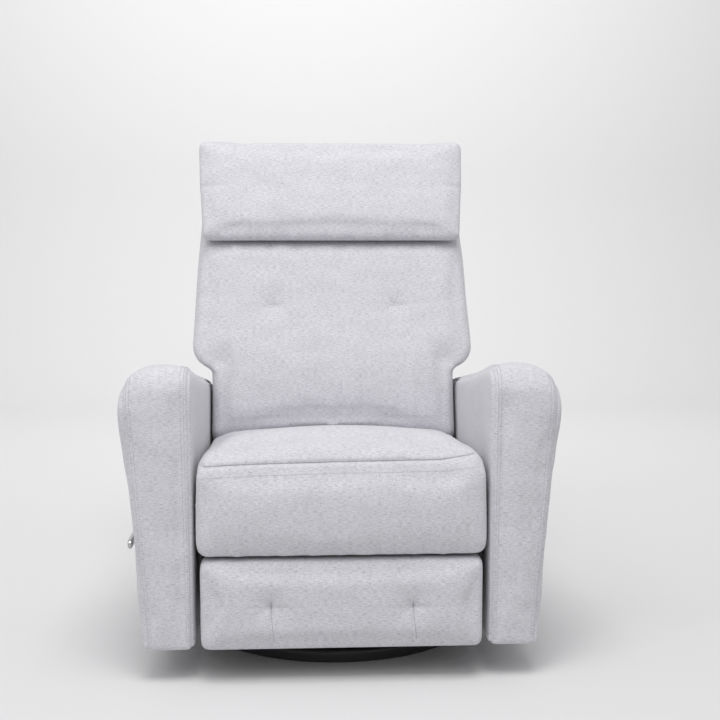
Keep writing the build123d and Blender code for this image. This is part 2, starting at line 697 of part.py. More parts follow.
def headrest_cushion():
    """Thick pad over the top of the back: a proud front and a roll across the top."""
    half = HEADREST_HALF
    front = box_between((-half, HEADREST_FACE, HEADREST_LOW), (half, CUSHION_FACE - 0.1, HEADREST_HIGH))
    roll = box_between((-half, HEADREST_FACE, CUSHION_HIGH + 0.1), (half, SHELL_FACE - 0.1, HEADREST_HIGH))
    pad = front + roll
    top = pad.edges().filter_by(Axis.X).group_by(Axis.Z)[-1]
    pad = fillet(top.sort_by(Axis.Y)[0], HEADREST_ROLL)
    rear = pad.edges().filter_by(Axis.X).group_by(Axis.Z)[-1].sort_by(Axis.Y)[-1]
    return leaned(fillet(rear, HEADREST_ROLL / 2))


def back_post():
    """Right-hand upright of the back frame."""
    return leaned(box_between((POST_IN, FRAME_FACE, POST_LOW), (POST_OUT, FRAME_REAR, CUSHION_HIGH)))


def back_rail(low, high):
    """Cross rail between the back posts."""
    face, rear = FRAME_FACE + RAIL_INSET, FRAME_REAR - RAIL_INSET
    return leaned(box_between((-POST_IN, face, low), (POST_IN, rear, high)))


def back_hinge_plate():
    """Right-hand plate on the back post with the recline pin."""
    outer = POST_OUT + HINGE_THICK
    plate = leaned(box_between((POST_OUT, FRAME_FACE, POST_LOW), (outer, FRAME_REAR, HINGE_HIGH)))
    plate += rod_x(GLIDE_PIN, BACK_PIVOT, outer, SIDE_OUT + FACE_GAP)
    plate += rod_x(PIN_HEAD, BACK_PIVOT, SIDE_OUT + FACE_GAP, SIDE_OUT + FACE_GAP + HEAD_THICK)
    return plate


def back_webbing():
    """Cross webbing straps between the back posts."""
    straps = Part()
    face = FRAME_FACE - STRAP_THICK
    for low in STRAPS:
        straps += leaned(box_between((-POST_OUT, face, low), (POST_OUT, FRAME_FACE, low + STRAP_WIDTH)))
    return straps


def back_outer_panel():
    """Upholstered outside back that wraps forward round the frame, with the wings."""
    shell = back_slab(BACK_HALF, SHELL_RIM, SHELL_REAR, SHELL_LOW, CUSHION_HIGH)
    shell -= back_slab(SHELL_INNER, SHELL_RIM - 1, SHELL_FACE, 0, CUSHION_HIGH + 1)
    shell += back_slab(BACK_HALF, SHELL_FACE, SHELL_REAR, CUSHION_HIGH, SHELL_HIGH)
    return shell - wing_trim() - hinge_room()


def hinge_room():
    """Room beside the hinge plates, so that the wrap stays clear of the side plates and pins."""
    low, high = -20.0, 60.0
    inner = SHELL_INNER - 2
    return both_sides(leaned(box_between((inner, SHELL_RIM - 10, low), (600, SHELL_FACE, high))))


# ---- release lever ------------------------------------------------------------------------------
def arm_face_x(level):
    """Outer face of the left arm at a height."""
    return -(ARM_INNER + arm_width(level))


def lever_escutcheon():
    """Round plate let into the left arm's outer panel, with the shaft's bearing."""
    face = arm_face_x(LEVER_AXIS[1])
    plate = rod_x(PLATE_RADIUS, LEVER_AXIS, face - PLATE_PROUD, face + PLATE_DEEP)
    return plate - rod_x(SHAFT_RADIUS + PIN_FIT, LEVER_AXIS, face - 10, face + 10)


def release_lever():
    """Flat handle that lies forward along the arm."""
    face = arm_face_x(LEVER_AXIS[1])
    end = (LEVER_AXIS[0] - LEVER_REACH, LEVER_AXIS[1])
    handle = bar_between(LEVER_AXIS, end, LEVER_WIDTH, face - LEVER_FAR, face - LEVER_NEAR)
    return fillet(handle.edges().group_by(Axis.X)[0], LEVER_ROUND)


def lever_shaft():
    """Shaft from the handle to the mechanism's side plate."""
    return rod_x(SHAFT_RADIUS, LEVER_AXIS, arm_face_x(LEVER_AXIS[1]) - LEVER_NEAR, -PAWL_OUT)


def lever_pawl():
    """Short cam on the shaft beside the side plate that trips the footrest."""
    tip = (LEVER_AXIS[0] + 24, LEVER_AXIS[1] + 18)
    return bar_between(LEVER_AXIS, tip, 16, -PAWL_OUT, -PAWL_IN)


def lever_bores(part):
    """The left arm's piece with the shaft's way through it."""
    return part - rod_x(SHAFT_ROOM, LEVER_AXIS, -500, -SIDE_OUT)


def main():
    """Write every piece."""
    export("floor_pad_ring", floor_pad_ring())
    export("base_ring", base_ring())
    export("base_spokes", base_spokes())
    export("base_hub", disc_z(HUB_RADIUS, HUB_LOW, HUB_HIGH))
    export("lower_race", race_plate(LOWER_RACE_LOW, LOWER_RACE_HIGH, KINGPIN_RADIUS))
    export("bearing_balls", bearing_balls())
    export("ball_cage", ball_cage())
    export("kingpin", kingpin())

    bolts = race_bolts()
    export("upper_race", race_plate(UPPER_RACE_LOW, UPPER_RACE_HIGH, KINGPIN_RADIUS + PIN_FIT) - bolts)
    export("carriage_plate", carriage_plate() - bolts)
    export("race_bolts", bolts)
    export("glide_stand_right", glide_stand())
    export("glide_stand_left", mirror(glide_stand(), about=Plane.YZ))

    for end, y in (("front", -LINK_SPREAD), ("rear", LINK_SPREAD)):
        export(f"glide_links_{end}", glide_links(y))
        export(f"glide_pins_{end}", glide_pins(y))

    export("glide_hangers", both_sides(glide_hanger()))
    export("cross_tubes", Part() + [cross_tube(y) for y in TUBE_PLACES])
    side_bolts = plate_bolts()
    plate = recliner_side_plate() - side_bolts
    export("side_plate_right", plate)
    export("side_plate_left", mirror(plate, about=Plane.YZ))
    export("plate_bolts", both_sides(side_bolts))
    export("seat_rail_front", seat_rail(*FRONT_RAIL))
    export("seat_rail_rear", seat_rail(*REAR_RAIL))
    export("seat_springs", seat_springs())
    export("seat_deck", seat_deck())
    export("seat_cushion", seat_cushion())
    export("seat_front_pad", seat_front_pad())

    escutcheon = lever_escutcheon()
    recess = rod_x(PLATE_RADIUS, LEVER_AXIS, -500, arm_face_x(LEVER_AXIS[1]) + PLATE_DEEP)
    arm_pieces = {
        "inner_panel": arm_inner_panel(),
        "outer_panel": arm_outer_panel(),
        "front_panel": arm_front_panel(),
        "rear_panel": arm_rear_panel(),
        "top_pad": arm_top_pad(),
        "frame": arm_frame(),
    }
    for name, piece in arm_pieces.items():
        export(f"arm_{name}_right", piece)
        left = mirror(piece, about=Plane.YZ)
        if name in ("inner_panel", "outer_panel"):
            left = lever_bores(left)
        if name == "outer_panel":
            left -= recess
        export(f"arm_{name}_left", left)
    export("rear_apron", rear_apron())

    export("drive_links", both_sides(drive_link()))
    export("drive_tube", drive_tube())
    export("ottoman_links_lower", both_sides(ottoman_link(REST["lower"], REST["lower_end"], REST["tail"])))
    export("ottoman_links_upper", both_sides(ottoman_link(REST["upper"], REST["upper_end"])))
    export("ottoman_brackets", both_sides(ottoman_bracket()))
    export("footrest_board", footrest_board())
    export("footrest_cushion", footrest_cushion())

    export("back_posts", both_sides(back_post()))
    export("back_rails", Compound([back_rail(*place) for place in BACK_RAILS]))
    export("back_webbing", back_webbing())
    export("back_hinge_plates", both_sides(back_hinge_plate()))
    export("back_upper_cushion", back_upper_cushion())
    export("back_lower_cushion", back_lower_cushion())
    export("headrest_cushion", headrest_cushion())
    export("back_outer_panel", back_outer_panel())

    export("lever_escutcheon", escutcheon)
    export("release_lever", release_lever())
    export("lever_shaft", lever_shaft())
    export("lever_pawl", lever_pawl())


main()
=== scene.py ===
"""Nursery glider recliner: upholstery, hardware finishes and studio for a jointed chair.

Lengths are metres. The front faces -Y, +Z is up, and the origin is on the swivel axis at the floor.
"""
import math

import bpy
import numpy as np
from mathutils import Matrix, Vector
from mathutils.bvhtree import BVHTree


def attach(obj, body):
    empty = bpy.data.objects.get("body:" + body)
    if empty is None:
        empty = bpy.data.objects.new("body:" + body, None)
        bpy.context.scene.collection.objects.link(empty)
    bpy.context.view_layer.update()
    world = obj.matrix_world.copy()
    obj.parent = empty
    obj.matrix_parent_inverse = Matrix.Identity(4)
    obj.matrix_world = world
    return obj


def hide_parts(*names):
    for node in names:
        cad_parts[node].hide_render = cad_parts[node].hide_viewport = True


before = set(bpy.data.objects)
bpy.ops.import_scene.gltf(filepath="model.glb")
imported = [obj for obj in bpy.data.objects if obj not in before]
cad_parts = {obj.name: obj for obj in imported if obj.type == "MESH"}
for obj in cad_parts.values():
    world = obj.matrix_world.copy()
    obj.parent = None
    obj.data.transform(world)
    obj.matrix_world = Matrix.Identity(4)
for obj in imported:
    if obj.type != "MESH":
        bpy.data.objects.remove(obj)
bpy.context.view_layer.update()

bl_info = {
    "name": "Nursery glider recliner",
    "version": (1, 0, 0),
    "blender": (4, 5, 0),
    "location": "View3D > Sidebar > Glider",
    "description": "Builds the chair's upholstery, stitching, hardware finishes and studio",
    "category": "Object",
}

# ---- places that the chair's frame fixes ---------------------------------------------------------
BACK_PIVOT = (0.205, 0.350)      # recline hinge, (y, z)
BACK_LEAN = math.radians(21.0)
WING_LEVEL = 0.533               # undersides of the back's wings, above the floor
NECK_HALF = 0.2695               # half width of the back between the arms
ARM_INNER = 0.273
ARM_FRONT = -0.385
ARM_REAR = 0.286
ARM_LOW = 0.060
ARM_CROWN = 0.595
ARM_HEAD = 0.131                 # arm width at the top
ARM_FOOT = 0.090                 # and at the bottom
ARM_SHOULDER = 0.078             # the outer face starts this far below the crown
ARM_FALL = 0.150                 # drop of the arm's top per metre towards the back
ARM_RIDGE = 0.36                 # share of the width from the inner face to the highest line
ARM_WATERFALL = 0.050            # rounding where the arm's front turns over into its top
SEAM_LEVEL = 0.413               # the seat's front seam, above the floor
DECK = 0.350                     # underside of the seat cushion
SEAT_CREST = -0.300              # the seat's top falls towards the back from here, in y
SEAT_PITCH = 0.160               # and this much per metre

# ---- the upholstery's own sizes ------------------------------------------------------------------
SEAT_HALF = 0.269                # half widths of the seat, the back and the footrest, before stuffing
BACK_HALF = 0.306
FOOT_HALF = 0.262
FOOT_LOW, FOOT_HIGH = 0.061, 0.2325
FOOT_TUFTS = ((-0.131, 0.146), (0.131, 0.144))      # (x, z) on the footrest
BACK_TUFTS = ((-0.140, 0.279), (0.140, 0.279))      # (x, h) on the upright back
HEAD_GATHERS = (-0.226, -0.156, -0.098, -0.004, 0.118, 0.190)    # x along the headrest's lower edge
SEAM_SHARES = (0.045, 0.955)     # the arm's two band seams, as shares of its width
STITCH_ROWS = {"inner_a": 0.105, "inner_b": 0.150, "outer_a": 0.850, "outer_b": 0.895}
LEVER_PLACE = (-0.28, 0.30)      # middle of the release lever's sweep, (y, z)
CLOTH_FRAMES = 20                # length of the cloth simulation
EVEN_ROUNDS = 10                 # smoothing passes over what the simulation moved


# ---- meshes --------------------------------------------------------------------------------------
def cube_grid(counts):
    """Welded surface of the cube from -1 to 1: six flat grids of quads, with shared edge points."""
    lattice, quads, start = [], [], 0
    for axis in range(3):
        u, v = (axis + 1) % 3, (axis + 2) % 3
        a, b = np.meshgrid(np.arange(counts[u] + 1), np.arange(counts[v] + 1), indexing="ij")
        for side in (0, counts[axis]):
            points = np.zeros((*a.shape, 3), int)
            points[..., u], points[..., v], points[..., axis] = a, b, side
            index = np.arange(a.size).reshape(a.shape) + start
            start += a.size
            quad = np.stack([index[:-1, :-1], index[1:, :-1], index[1:, 1:], index[:-1, 1:]], -1)
            quad = quad.reshape(-1, 4)
            quads.append(quad if side else quad[:, ::-1])
            lattice.append(points.reshape(-1, 3))
    points, index = np.unique(np.concatenate(lattice), axis=0, return_inverse=True)
    return points / np.array(counts) * 2 - 1, index.reshape(-1)[np.concatenate(quads)]


def rounded_box(low, high, radii, step=0.009):
    """Box with elliptical edges: each surface point is pulled to the core box grown by the radii."""
    low, high, radii = (np.array(v, float) for v in (low, high, radii))
    half = (high - low) / 2
    counts = np.maximum(np.ceil(2 * half / step), 4).astype(int)
    unit, quads = cube_grid(counts)
    core = np.clip(unit * half, radii - half, half - radii)
    away = (unit * half - core) / radii
    away /= np.linalg.norm(away, axis=1, keepdims=True)
    return (low + high) / 2 + core + away * radii, quads


def ramp(value, start, end):
    """0 before start, 1 after end, and a smooth S between them."""
    t = np.clip((value - start) / (end - start), 0, 1)
    return t * t * (3 - 2 * t)


def dent(away, width):
    """1 on a line, and next to nothing two widths away from it: exp(-(away / width)^2)."""
    return np.exp(-(away / width) ** 2)


def fade(away, reach):
    """1 on a line, and about a third of that one reach away: exp(-|away| / reach)."""
    return np.exp(-np.abs(away) / reach)


def ripple(value, pitch, seed):
    """Uneven waves from -1 to 1 along a value: three sines whose pitches don't divide."""
    turn = 2 * math.pi / pitch
    waves = np.sin(value * turn + seed) + 0.7 * np.sin(value * turn * 0.618 + 2.1 * seed)
    return (waves + 0.5 * np.sin(value * turn * 1.73 + 3.7 * seed)) / 2.2


def lean(points):
    """Turns (x, d, h) points of the upright back to its lean about the recline hinge."""
    x, d, h = points.T
    c, s = math.cos(BACK_LEAN), math.sin(BACK_LEAN)
    return np.stack([x, BACK_PIVOT[0] + c * d + s * h, BACK_PIVOT[1] - s * d + c * h], 1)


def unlean(points):
    """The upright back's (x, d, h) of points in the chair."""
    x, y, z = points[:, 0], points[:, 1] - BACK_PIVOT[0], points[:, 2] - BACK_PIVOT[1]
    c, s = math.cos(BACK_LEAN), math.sin(BACK_LEAN)
    return np.stack([x, c * y - s * z, s * y + c * z], 1)


def new_piece(name, points, faces):
    """A mesh object at the origin from whole arrays of points and quads."""
    mesh = bpy.data.meshes.new(name)
    mesh.vertices.add(len(points))
    mesh.vertices.foreach_set("co", np.asarray(points, np.float32).ravel())
    size = faces.shape[1]
    mesh.loops.add(faces.size)
    mesh.loops.foreach_set("vertex_index", faces.astype(np.int32).ravel())
    mesh.polygons.add(len(faces))
    mesh.polygons.foreach_set("loop_start", np.arange(0, faces.size, size, dtype=np.int32))
    mesh.polygons.foreach_set("loop_total", np.full(len(faces), size, np.int32))
    mesh.update(calc_edges=True)
    mesh.validate()
    piece = bpy.data.objects.new(name, mesh)
    bpy.context.scene.collection.objects.link(piece)
    return piece


def places(piece, what="co"):
    """The vertices' places, or their normals, as an array."""
    values = np.zeros(len(piece.data.vertices) * 3, np.float32)
    piece.data.vertices.foreach_get(what, values)
    return values.reshape(-1, 3).astype(float)


def place(piece, points):
    """Moves every vertex to its row of the array."""
    piece.data.vertices.foreach_set("co", points.astype(np.float32).ravel())
    piece.data.update()


def bake(piece):
    """Makes the modifiers' result the piece's own mesh."""
    graph = bpy.context.evaluated_depsgraph_get()
    mesh = bpy.data.meshes.new_from_object(piece.evaluated_get(graph))
    piece.modifiers.clear()
    piece.data = mesh


def joined(parts):
    """One pair of arrays from several (points, quads) pairs."""
    points, quads, start = [], [], 0
    for p, q in parts:
        points.append(p)
        quads.append(q + start)
        start += len(p)
    return np.concatenate(points), np.concatenate(quads)


def stuffed(name, parts, shape, voxel=0.006):
    """One closed skin over overlapping solids: they are joined, shaped, remeshed and smoothed."""
    points, quads = joined(parts)
    piece = new_piece(name, shape(points), quads)
    remesh = piece.modifiers.new("skin", "REMESH")
    remesh.mode = "VOXEL"
    remesh.voxel_size = voxel
    smooth = piece.modifiers.new("smooth", "SMOOTH")
    smooth.factor, smooth.iterations = 0.5, 6
    bake(piece)
    return piece


def edges_of(piece):
    """The vertex pairs of a mesh's edges."""
    pairs = np.zeros(len(piece.data.edges) * 2, np.int32)
    piece.data.edges.foreach_get("vertices", pairs)
    return pairs.reshape(-1, 2)


def evened(values, edges, rounds):
    """Each row is averaged with its neighbours' mean, several times over."""
    ends = np.concatenate([edges[:, 0], edges[:, 1]])
    others = np.concatenate([edges[:, 1], edges[:, 0]])
    count = np.bincount(ends, minlength=len(values))
    for _ in range(rounds):
        columns = [np.bincount(ends, weights=v[others], minlength=len(v)) / count for v in values.T]
        values = (values + np.stack(columns, 1)) / 2
    return values


def inflate(piece, cap, held, slack, pressure=4.0):
    """Blows the skin up as cloth, then limits each point's travel by cap, a function of the points."""
    start = places(piece)
    group = piece.vertex_groups.new(name="held")
    group.add(np.flatnonzero(held(start)).tolist(), 1.0, "REPLACE")
    cloth = piece.modifiers.new("cloth", "CLOTH")
    cloth.settings.quality = 5
    cloth.settings.mass = 0.3
    cloth.settings.use_pressure = True
    cloth.settings.uniform_pressure_force = pressure
    cloth.settings.vertex_group_mass = "held"
    cloth.settings.shrink_min = -slack
    cloth.settings.tension_stiffness = cloth.settings.compression_stiffness = 15
    cloth.settings.bending_stiffness = 0.8
    cloth.settings.effector_weights.gravity = 0.0
    cloth.point_cache.frame_start, cloth.point_cache.frame_end = 1, CLOTH_FRAMES
    for number in range(1, CLOTH_FRAMES + 1):
        bpy.context.scene.frame_set(number)
    bake(piece)
    move = evened(places(piece) - start, edges_of(piece), EVEN_ROUNDS)
    length = np.linalg.norm(move, axis=1)
    limit = cap(start)
    share = limit * np.tanh(length / np.maximum(limit, 1e-6)) / np.maximum(length, 1e-9)
    place(piece, start + move * share[:, None])
    bpy.context.scene.frame_set(1)


def refine(piece):
    """Divides the skin once, ready for its seams and gathers."""
    surface = piece.modifiers.new("surface", "SUBSURF")
    surface.levels = surface.render_levels = 1
    bake(piece)
    return places(piece), places(piece, "normal")


def tuft(u, v, depth, reach):
    """How far in a pulled tuft draws the cloth: a soft dimple, pinched at its middle, with pleats."""
    far, turn = np.hypot(u, v), np.arctan2(v, u)
    dimple = depth * (0.55 * dent(far, reach) + 0.45 * fade(far, 0.28 * reach))
    return dimple + 0.0012 * np.cos(5 * turn + 0.6) * ramp(far, 0.004, 0.012) * fade(far, 0.022)


def weave_map(piece):
    """Own UV map in metres: u runs along the weft, and v up the cloth, by the way each face looks."""
    mesh = piece.data
    count = len(mesh.loops)
    corner = np.zeros(count, np.int32)
    mesh.loops.foreach_get("vertex_index", corner)
    normal = np.zeros(len(mesh.polygons) * 3, np.float32)
    mesh.polygons.foreach_get("normal", normal)
    total = np.zeros(len(mesh.polygons), np.int32)
    mesh.polygons.foreach_get("loop_total", total)
    facing = np.repeat(np.abs(normal.reshape(-1, 3)) * (1.0, 1.15, 0.9), total, axis=0).argmax(1)
    at = places(piece)[corner]
    along = np.where(facing == 0, at[:, 1], at[:, 0])
    up = np.where(facing == 2, at[:, 1], at[:, 2])
    layer = mesh.uv_layers.get("weave") or mesh.uv_layers.new(name="weave")
    layer.data.foreach_set("uv", np.stack([along, up], 1).astype(np.float32).ravel())


def finish_cloth(piece, body, nodes):
    """Maps, smooths and finishes one upholstered piece, attaches it to its body and hides the frame parts
    it covers.
    """
    weave_map(piece)
    mesh = piece.data
    mesh.polygons.foreach_set("use_smooth", np.ones(len(mesh.polygons), bool))
    mesh.materials.append(cloth_material())
    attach(piece, body)
    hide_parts(*nodes)


# ---- materials -----------------------------------------------------------------------------------
def linear(code):
    """sRGB hex to linear RGBA, opaque."""
    parts = [int(code[i:i + 2], 16) / 255 for i in (1, 3, 5)]
    return (*(c / 12.92 if c <= 0.04045 else ((c + 0.055) / 1.055) ** 2.4 for c in parts), 1.0)


def add(tree, kind, values=None, links=None, **settings):
    """Adds one node: settings are its properties, values its inputs, links where inputs come from."""
    node = tree.nodes.new(kind)
    for key, value in settings.items():
        setattr(node, key, value)
    for key, value in (values or {}).items():
        node.inputs[key].default_value = value
    for key, source in (links or {}).items():
        tree.links.new(source, node.inputs[key])
    return node


def new_material(name, **sockets):
    """A Principled material with its uniform values set on the shader's own sockets."""
    material = bpy.data.materials.new(name)
    material.use_nodes = True
    shader = material.node_tree.nodes["Principled BSDF"]
    for key, value in sockets.items():
        shader.inputs[key.replace("_", " ")].default_value = value
    return material, material.node_tree, shader


def set_ramp(node, stops):
    """Fills a colour ramp from (position, hex) pairs."""
    elements = node.color_ramp.elements
    while len(elements) < len(stops):
        elements.new(0.5)
    for element, (position, code) in zip(elements, stops):
        element.position = position
        element.color = linear(code)


def cloth_material():
    """Heathered polyester upholstery, woven flat from slubby melange yarn and brushed.

    The yarns' light and grey fibres give short level flecks, and the nap softens every edge of light.
    The real yarn is 0.8 mm, too fine to show, so the pattern's flecks are 1.5 mm high and 9 mm long.
    """
    name = "heather_weave"
    if name in bpy.data.materials:
        return bpy.data.materials[name]
    look = bpy.context.scene.glider_look
    material, tree, shader = new_material(
        name, Roughness=0.92, Sheen_Weight=0.30, Sheen_Roughness=0.55, Specular_IOR_Level=0.25)
    uv = add(tree, "ShaderNodeUVMap", uv_map="weave").outputs["UV"]

    def threads(along, up, detail, twist=0.0):
        turned = add(tree, "ShaderNodeMapping", {"Scale": (1 / along, 1 / up, 1)}, {"Vector": uv})
        return add(tree, "ShaderNodeTexNoise", {"Scale": 1.0, "Detail": detail, "Roughness": 0.6,
                   "Distortion": twist}, {"Vector": turned.outputs["Vector"]}).outputs["Fac"]

    weft = threads(0.0090, 0.0015, 2.0, 0.2)
    warp = threads(0.0015, 0.0080, 1.0)
    cloud = threads(0.070, 0.030, 2.0)
    flock = threads(0.0026, 0.0014, 1.0)
    mixed = add(tree, "ShaderNodeMix", {"Factor": 0.24}, {"A": weft, "B": warp},
                data_type="FLOAT").outputs[0]
    mixed = add(tree, "ShaderNodeMix", {"Factor": 0.22}, {"A": mixed, "B": flock},
                data_type="FLOAT").outputs[0]
    yarn = add(tree, "ShaderNodeValToRGB", links={"Fac": mixed})
    set_ramp(yarn, ((0.34, "#%s" % look.dark_yarn), (0.47, "#%s" % look.middle_yarn),
                    (0.60, "#%s" % look.light_yarn)))
    shade = add(tree, "ShaderNodeMapRange", {"From Min": 0.3, "From Max": 0.7, "To Min": 0.955,
                "To Max": 1.03}, {"Value": cloud})
    tone = add(tree, "ShaderNodeVectorMath", links={0: yarn.outputs["Color"],
               1: shade.outputs["Result"]}, operation="MULTIPLY")
    tree.links.new(tone.outputs["Vector"], shader.inputs["Base Color"])
    bump = add(tree, "ShaderNodeBump", {"Strength": 0.55, "Distance": 0.0007}, {"Height": mixed})
    tree.links.new(bump.outputs["Normal"], shader.inputs["Normal"])
    return material


def yarn_finish(name, codes, scale):
    """Twisted polyester: the ply shows as a fine change of tone along the strand."""
    if name in bpy.data.materials:
        return bpy.data.materials[name]
    material, tree, shader = new_material(name, Roughness=0.75, Sheen_Weight=0.2)
    at = add(tree, "ShaderNodeTexCoord").outputs["Object"]
    ply = add(tree, "ShaderNodeTexNoise", {"Scale": scale, "Detail": 1.0}, {"Vector": at})
    tint = add(tree, "ShaderNodeValToRGB", links={"Fac": ply.outputs["Fac"]})
    set_ramp(tint, ((0.35, codes[0]), (0.65, codes[1])))
    tree.links.new(tint.outputs["Color"], shader.inputs["Base Color"])
    return material


def thread_material():
    """Spun polyester sewing thread: matt, a little darker than the cloth so the stitches read."""
    return yarn_finish("sewing_thread", ("#a4a4ab", "#bcbcc3"), 900.0)


def seam_shade_material():
    """Edge of the cloth sewn down in a seam, darker than the cloth: the darker tone is painted shade of
    the seam's gap.
    """
    # both tones are the cloth's yarn darkened as painted shade of the seam's gap
    return yarn_finish("seam_edge", ("#9a9aa0", "#aeaeb4"), 400.0)


def dress(tree, shader, grain, stops, roughness, relief):
    """Colour, roughness and relief of a hard finish, all from one grain; relief is (strength, height)."""
    tint = add(tree, "ShaderNodeValToRGB", links={"Fac": grain})
    set_ramp(tint, stops)
    tree.links.new(tint.outputs["Color"], shader.inputs["Base Color"])
    rough = add(tree, "ShaderNodeMapRange", {"From Min": 0.3, "From Max": 0.7, "To Min": roughness[0],
                "To Max": roughness[1]}, {"Value": grain})
    tree.links.new(rough.outputs["Result"], shader.inputs["Roughness"])
    bump = add(tree, "ShaderNodeBump", {"Strength": relief[0], "Distance": relief[1]}, {"Height": grain})
    tree.links.new(bump.outputs["Normal"], shader.inputs["Normal"])


def speckled(name, stops, scale, height, roughness, **sockets):
    """A hard finish with no direction: one fine noise on the object drives all of it."""
    material, tree, shader = new_material(name, **sockets)
    at = add(tree, "ShaderNodeTexCoord").outputs["Object"]
    noise = add(tree, "ShaderNodeTexNoise", {"Scale": scale, "Detail": 3.0}, {"Vector": at})
    grain = noise.outputs["Fac"]
    dress(tree, shader, grain, stops, roughness, (0.5, height))
    return material


def brushed(name, stops, along, across, roughness, height, **sockets):
    """A finish with a direction: noise drawn out along one axis, as brushing or wood grain is."""
    material, tree, shader = new_material(name, **sockets)
    at = add(tree, "ShaderNodeTexCoord").outputs["Object"]
    drawn = add(tree, "ShaderNodeMapping", {"Scale": tuple(1 / v for v in (across, along, across))},
                {"Vector": at})
    grain = add(tree, "ShaderNodeTexNoise", {"Scale": 1.0, "Detail": 4.0, "Distortion": 0.4},
                {"Vector": drawn.outputs["Vector"]}).outputs["Fac"]
    dress(tree, shader, grain, stops, roughness, (0.4, height))
    return material


def hard_materials():
    """The finishes of everything that isn't upholstered, by the record's slot."""
    return {
        # Powder-coated steel: baked black powder leaves a fine orange peel and a soft satin.
        "black_steel": speckled("black_powder_coat", ((0.3, "#141416"), (0.7, "#1f1f22")), 420.0,
                                0.0002, (0.38, 0.52)),
        # Moulded polypropylene with a spark-eroded grain: dull and slightly grey.
        "black_plastic": speckled("grained_polypropylene", ((0.3, "#17171a"), (0.7, "#242428")), 900.0,
                                  0.00015, (0.5, 0.64)),
        # Natural nylon, turned milky by its own fibres.
        "nylon": speckled("natural_nylon", ((0.3, "#d8d4c6"), (0.7, "#e8e5da")), 300.0, 0.0001,
                          (0.4, 0.5), Subsurface_Weight=0.15, Subsurface_Radius=(0.004, 0.004, 0.003)),
        # Brushed die-cast zinc, nickel plated: fine lines along the part blur the highlights.
        "satin_metal": brushed("satin_nickel", ((0.3, "#b2b2b0"), (0.7, "#d0d0ce")), 0.03, 0.0008,
                               (0.28, 0.42), 0.0001, Metallic=1.0),
        # Bright zinc plate over rolled steel: cloudy and a little blue.
        "zinc_steel": speckled("zinc_plate", ((0.3, "#9da2a8"), (0.7, "#c6cacf")), 160.0, 0.0001,
                               (0.25, 0.45), Metallic=1.0),
        # Sawn softwood and birch ply: pale, with the grain drawn out along the rail.
        "frame_wood": brushed("sawn_birch", ((0.3, "#b08a5c"), (0.55, "#cba97a"), (0.75, "#dbc096")),
                              0.09, 0.0035, (0.6, 0.8), 0.0006),
        # Needled felt: matted grey fibres with no direction.
        "grey_felt": speckled("needled_felt", ((0.3, "#6e6e70"), (0.7, "#98989a")), 500.0, 0.0006,
                              (0.9, 1.0), Sheen_Weight=0.2),
        # Elastic webbing: rubber strands covered in dark grey polyester, so dull and ribbed.
        "webbing": brushed("elastic_webbing", ((0.3, "#3a3a3c"), (0.7, "#5c5c60")), 0.004, 0.0012,
                           (0.8, 0.9), 0.0004),
    }


# ---- upholstered pieces --------------------------------------------------------------------------
def seat_shape(points):
    """Seat block before it is stuffed: crowned across, pitched down to the back, sides drawn in."""
    x, y, z = points.T
    fall = SEAT_PITCH * np.maximum(y - SEAT_CREST, 0) / 0.102
    z = np.where(z > DECK, DECK + (z - DECK) * (1 - fall), z)
    z = z + ramp(z, 0.37, 0.44) * (0.008 - 0.028 * (x / 0.27) ** 2)
    pull = 0.003 * ramp(np.abs(x), 0.20, 0.27) * np.sin(np.clip((y + 0.39) / 0.49, 0, 1) * math.pi)
    return np.stack([x - np.sign(x) * pull, y, z], 1)


def seat_seam(x):
    """Height of the seat's front seam: it bows, and climbs at the sitter's left."""
    return SEAM_LEVEL + 0.004 * (x / 0.27) + 0.010 * ramp(x, 0.17, 0.27) - 0.004 * (x / 0.27) ** 2


def make_seat():
    """Seat cushion and its waterfall front, one skin over the two blocks of foam."""
    half = SEAT_HALF
    top = rounded_box((-half, -0.398, 0.352), (half, 0.104, 0.445), (0.024, 0.048, 0.044))
    front = rounded_box((-half, -0.398, 0.236), (half, -0.351, 0.415), (0.018, 0.022, 0.026))
    piece = stuffed("seat_pad", [top, front], seat_shape)

    def held(p):
        under = (p[:, 2] < 0.360) & (p[:, 1] > -0.345)
        behind = (p[:, 1] > -0.360) & (p[:, 2] < 0.352)
        return under | behind | (p[:, 1] > 0.09) | (p[:, 2] < 0.243)

    def cap(p):
        side = ramp(0.268 - np.abs(p[:, 0]), 0.0, 0.05)
        return 0.002 + 0.012 * side * ramp(0.08 - p[:, 1], 0, 0.1)

    inflate(piece, cap, held, slack=0.005)
    points, normals = refine(piece)
    x, _, z = points.T
    facing = ramp(-normals[:, 1], 0.1, 0.5)
    gap = np.abs(z - seat_seam(x))
    groove = bpy.context.scene.glider_sizes.seat_groove * dent(gap, 0.0034)
    gather = 0.0010 * ripple(x, 0.034, 1.3) * fade(gap, 0.014)
    hem = 0.0020 * ripple(x, 0.047, 2.2) * fade(z - 0.246, 0.022)
    soft = 0.0016 * ripple(x, 0.19, 0.4) * np.sin((z - 0.24) / 0.17 * math.pi)
    points += normals * ((-groove + gather + hem + soft) * facing)[:, None]
    place(piece, points)
    finish_cloth(piece, "seat_frame", ["seat_cushion", "seat_front_pad"])


def foot_crease(x, z):
    """How far in the footrest's tufts draw it: dimple, upright slit, crease to the hem and side pulls."""
    depth = bpy.context.scene.glider_sizes.foot_tuft
    total = 0
    for a, b in FOOT_TUFTS:
        near = fade(x - a, 0.0035)
        slit = 0.0040 * near * dent(z - b - 0.004, 0.012)
        below = 0.0020 * near * ramp(b - z, 0.0, 0.01) + 0.0010 * near * ramp(b + 0.05 - z, 0, 0.04)
        pull = 0.0018 * dent(z - b - 0.02 * np.abs(x - a), 0.004) * fade(x - a, 0.030)
        total = total + tuft(x - a, z - b, depth, 0.030) + slit + below + pull
    return total


